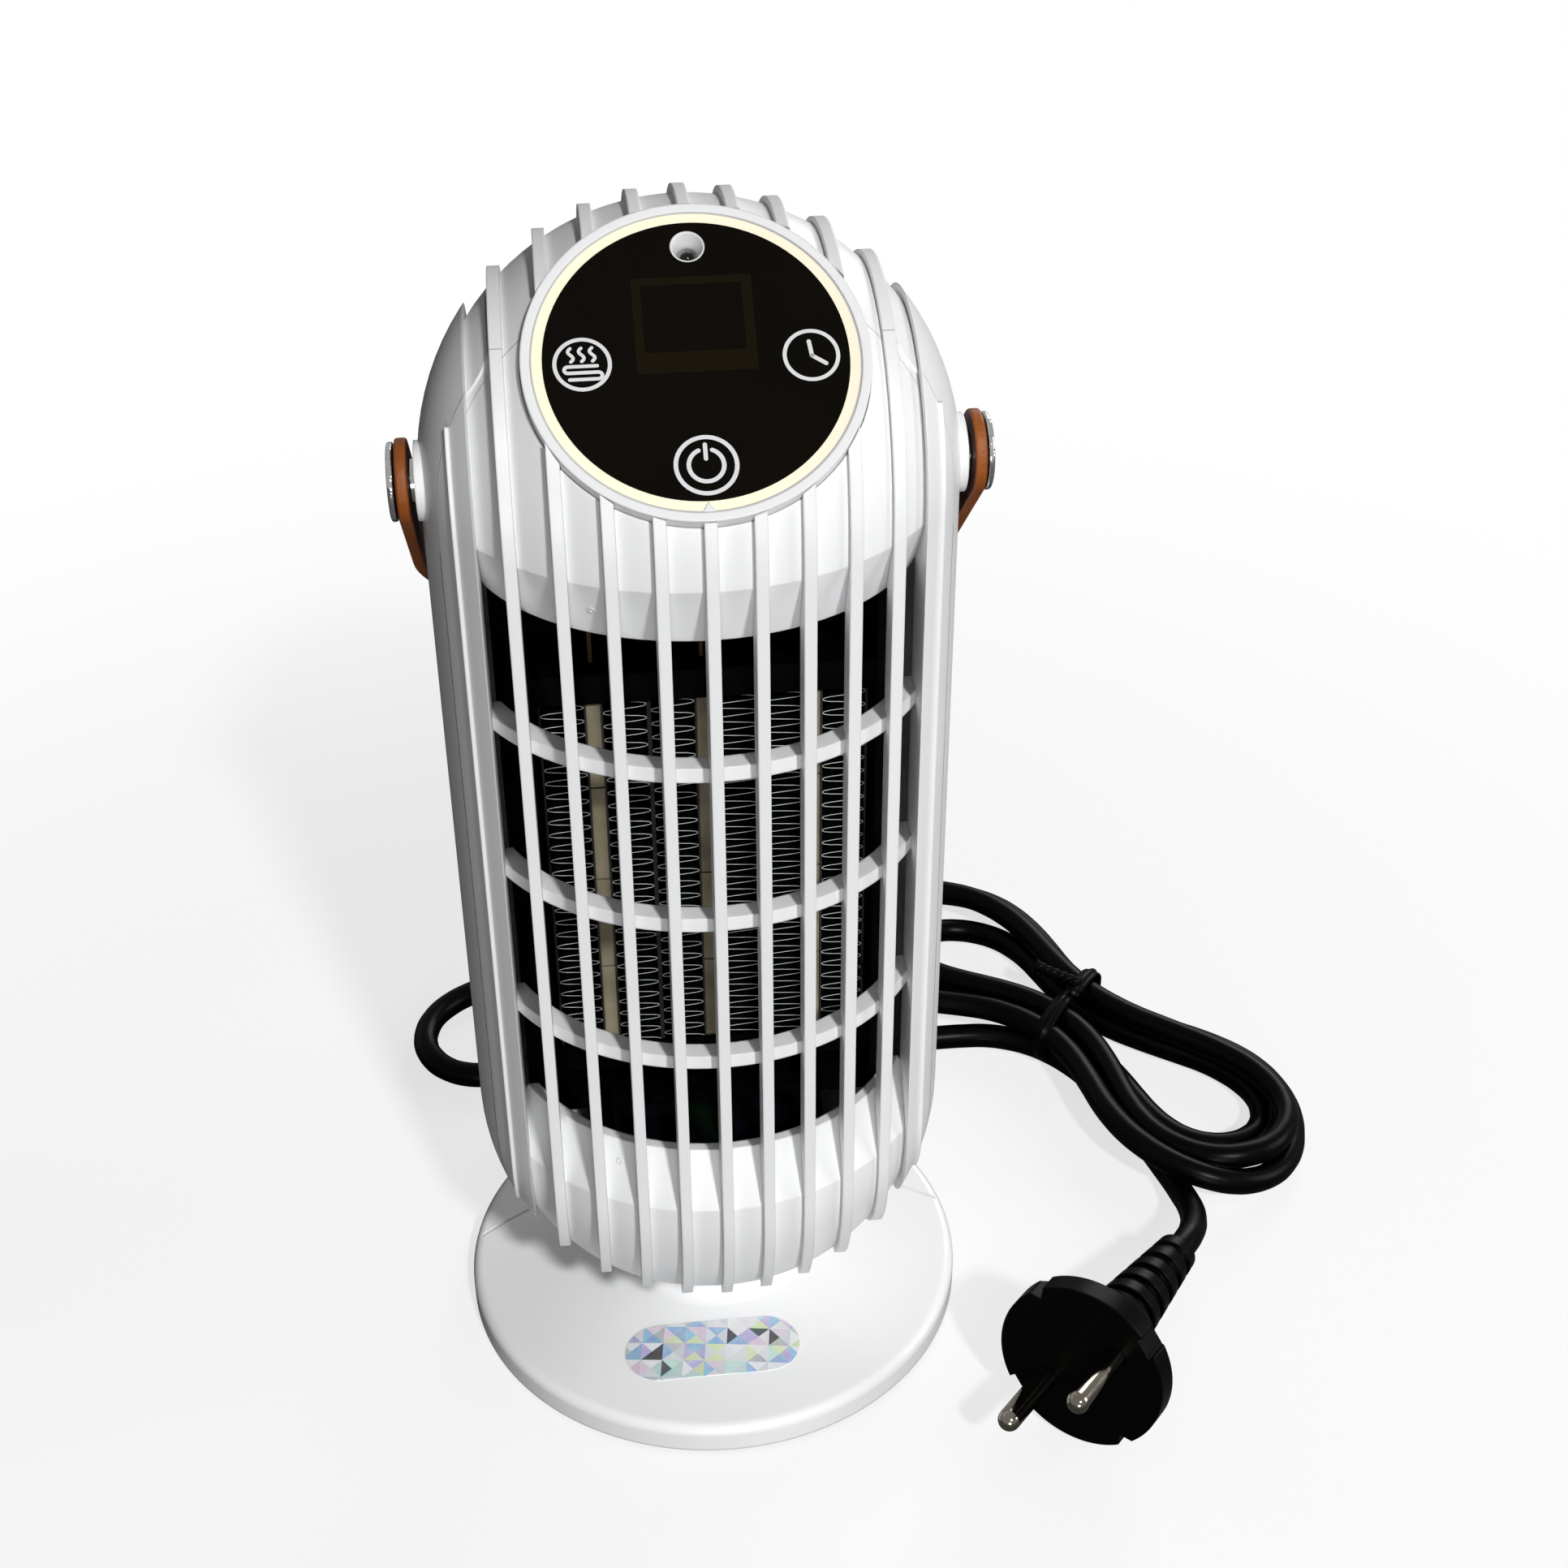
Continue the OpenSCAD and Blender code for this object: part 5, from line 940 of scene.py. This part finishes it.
def tubeAlong(shape, points, radius, sides, flat=1.0, tall=None):
    rings = []
    lastSide = None
    for i, place in enumerate(points):
        along = (points[min(i + 1, len(points) - 1)] - points[max(i - 1, 0)]).normalized()
        side = (lastSide or along.cross(Vector((0.2, 0.1, 1)))) if tall is None else tall
        side = (side - along * side.dot(along)).normalized()
        lastSide = side
        up = along.cross(side)
        rings.append([shape.verts.new(place + radius * (c * side + flat * s * up)) for c, s in circle(sides)])
    for low, high in zip(rings, rings[1:]):
        bridge(shape, low, high)
    shape.faces.new(rings[0][::-1])
    shape.faces.new(rings[-1])


# A flat coated wire wound round the hank, with its two ends twisted together
def windTie(plan):
    shape = bmesh.new()
    turn = math.radians(plan["turn"])
    axis = Vector((math.cos(turn), math.sin(turn), 0))
    across = Vector((-math.sin(turn), math.cos(turn), 0))
    middle = Vector((*plan["middle"], (plan["low"] + plan["high"]) / 2)) * millimetre
    tall = (plan["high"] - plan["low"]) / 2 * millimetre
    steps, power = plan["loopSteps"], plan["cornering"]
    loop = []
    for k in range(steps + 1):
        angle = 2 * math.pi * k / steps + math.pi / 2
        c, s = math.cos(angle), math.sin(angle)
        loop.append(middle + across * plan["half"] * millimetre * math.copysign(abs(c) ** power, c)
                    + Vector((0, 0, tall * math.copysign(abs(s) ** power, s)))
                    + axis * plan["lap"] * millimetre * (k / steps - 0.5))
    flat = plan["bandThick"] / plan["bandWidth"]
    tubeAlong(shape, loop, plan["bandWidth"] * millimetre / 2, plan["bandSides"], flat, axis)
    tubeAlong(shape, loop, plan["wireRadius"] * millimetre, plan["wireSides"])
    spine = [Vector(p) * millimetre for p in plan["tail"]]
    count = plan["twistSteps"]
    for start in (0, math.pi):
        strand = []
        for k in range(count + 1):
            t = k / count * (len(spine) - 1)
            i = min(int(t), len(spine) - 2)
            place = spine[i].lerp(spine[i + 1], t - i)
            along = (spine[i + 1] - spine[i]).normalized()
            side = along.cross(Vector((0, 0, 1))).normalized()
            up = side.cross(along)
            angle = start + 2 * math.pi * plan["twists"] * k / count
            strand.append(place + plan["twistRadius"] * millimetre * (math.cos(angle) * side + math.sin(angle) * up))
        tubeAlong(shape, strand, plan["tailRadius"] * millimetre, plan["tailSides"])
    return newPiece("wireTie", finishMesh(shape, "wireTie"), "cordRubber", "stand", ("cord_tie",))


tie = windTie(tiePlan)
print("tie wound")

floorPlan = {
    "size": 4.0, "level": -0.0002, "seen": (0.93, 0.93, 0.93, 1), "unseen": (0.12, 0.12, 0.12, 1),
    "whiteNear": 0.72, "nearReach": 0.16, "farReach": 0.50, "roughness": 0.9,
}


# White paper that keeps the object's shadow and fades to plain white further out
def makeFloor(plan):
    mesh = bpy.data.meshes.new("paperFloor")
    half = plan["size"] / 2
    corners = [(x, y, plan["level"]) for x, y in ((-half, -half), (half, -half), (half, half), (-half, half))]
    mesh.from_pydata(corners, [], [(0, 1, 2, 3)])
    floor = addObject("paperFloor", mesh)
    tree, shader = newMaterial("whitePaper")
    seen = tree.nodes.new("ShaderNodeLightPath").outputs["Is Camera Ray"]
    fade = mapRange(tree, vectorLength(tree, objectPlace(tree)), (plan["nearReach"], plan["farReach"]),
                    (plan["whiteNear"], 1), interpolation_type="SMOOTHSTEP")
    paper = mixColour(tree, seen, plan["unseen"], plan["seen"])
    fill(tree, shader, {"Base Color": paper, "Roughness": plan["roughness"]})
    glow = addNode(tree, "ShaderNodeEmission", {"Color": white, "Strength": 1})
    mix = addNode(tree, "ShaderNodeMixShader", {
        0: mathNode(tree, "MULTIPLY", seen, fade), 1: tree.nodes["Principled BSDF"].outputs[0], 2: glow.outputs[0],
    })
    fill(tree, tree.nodes["Material Output"].inputs, {"Surface": mix.outputs[0]})
    mesh.materials.append(materials["whitePaper"])


makeFloor(floorPlan)
print("floor laid")
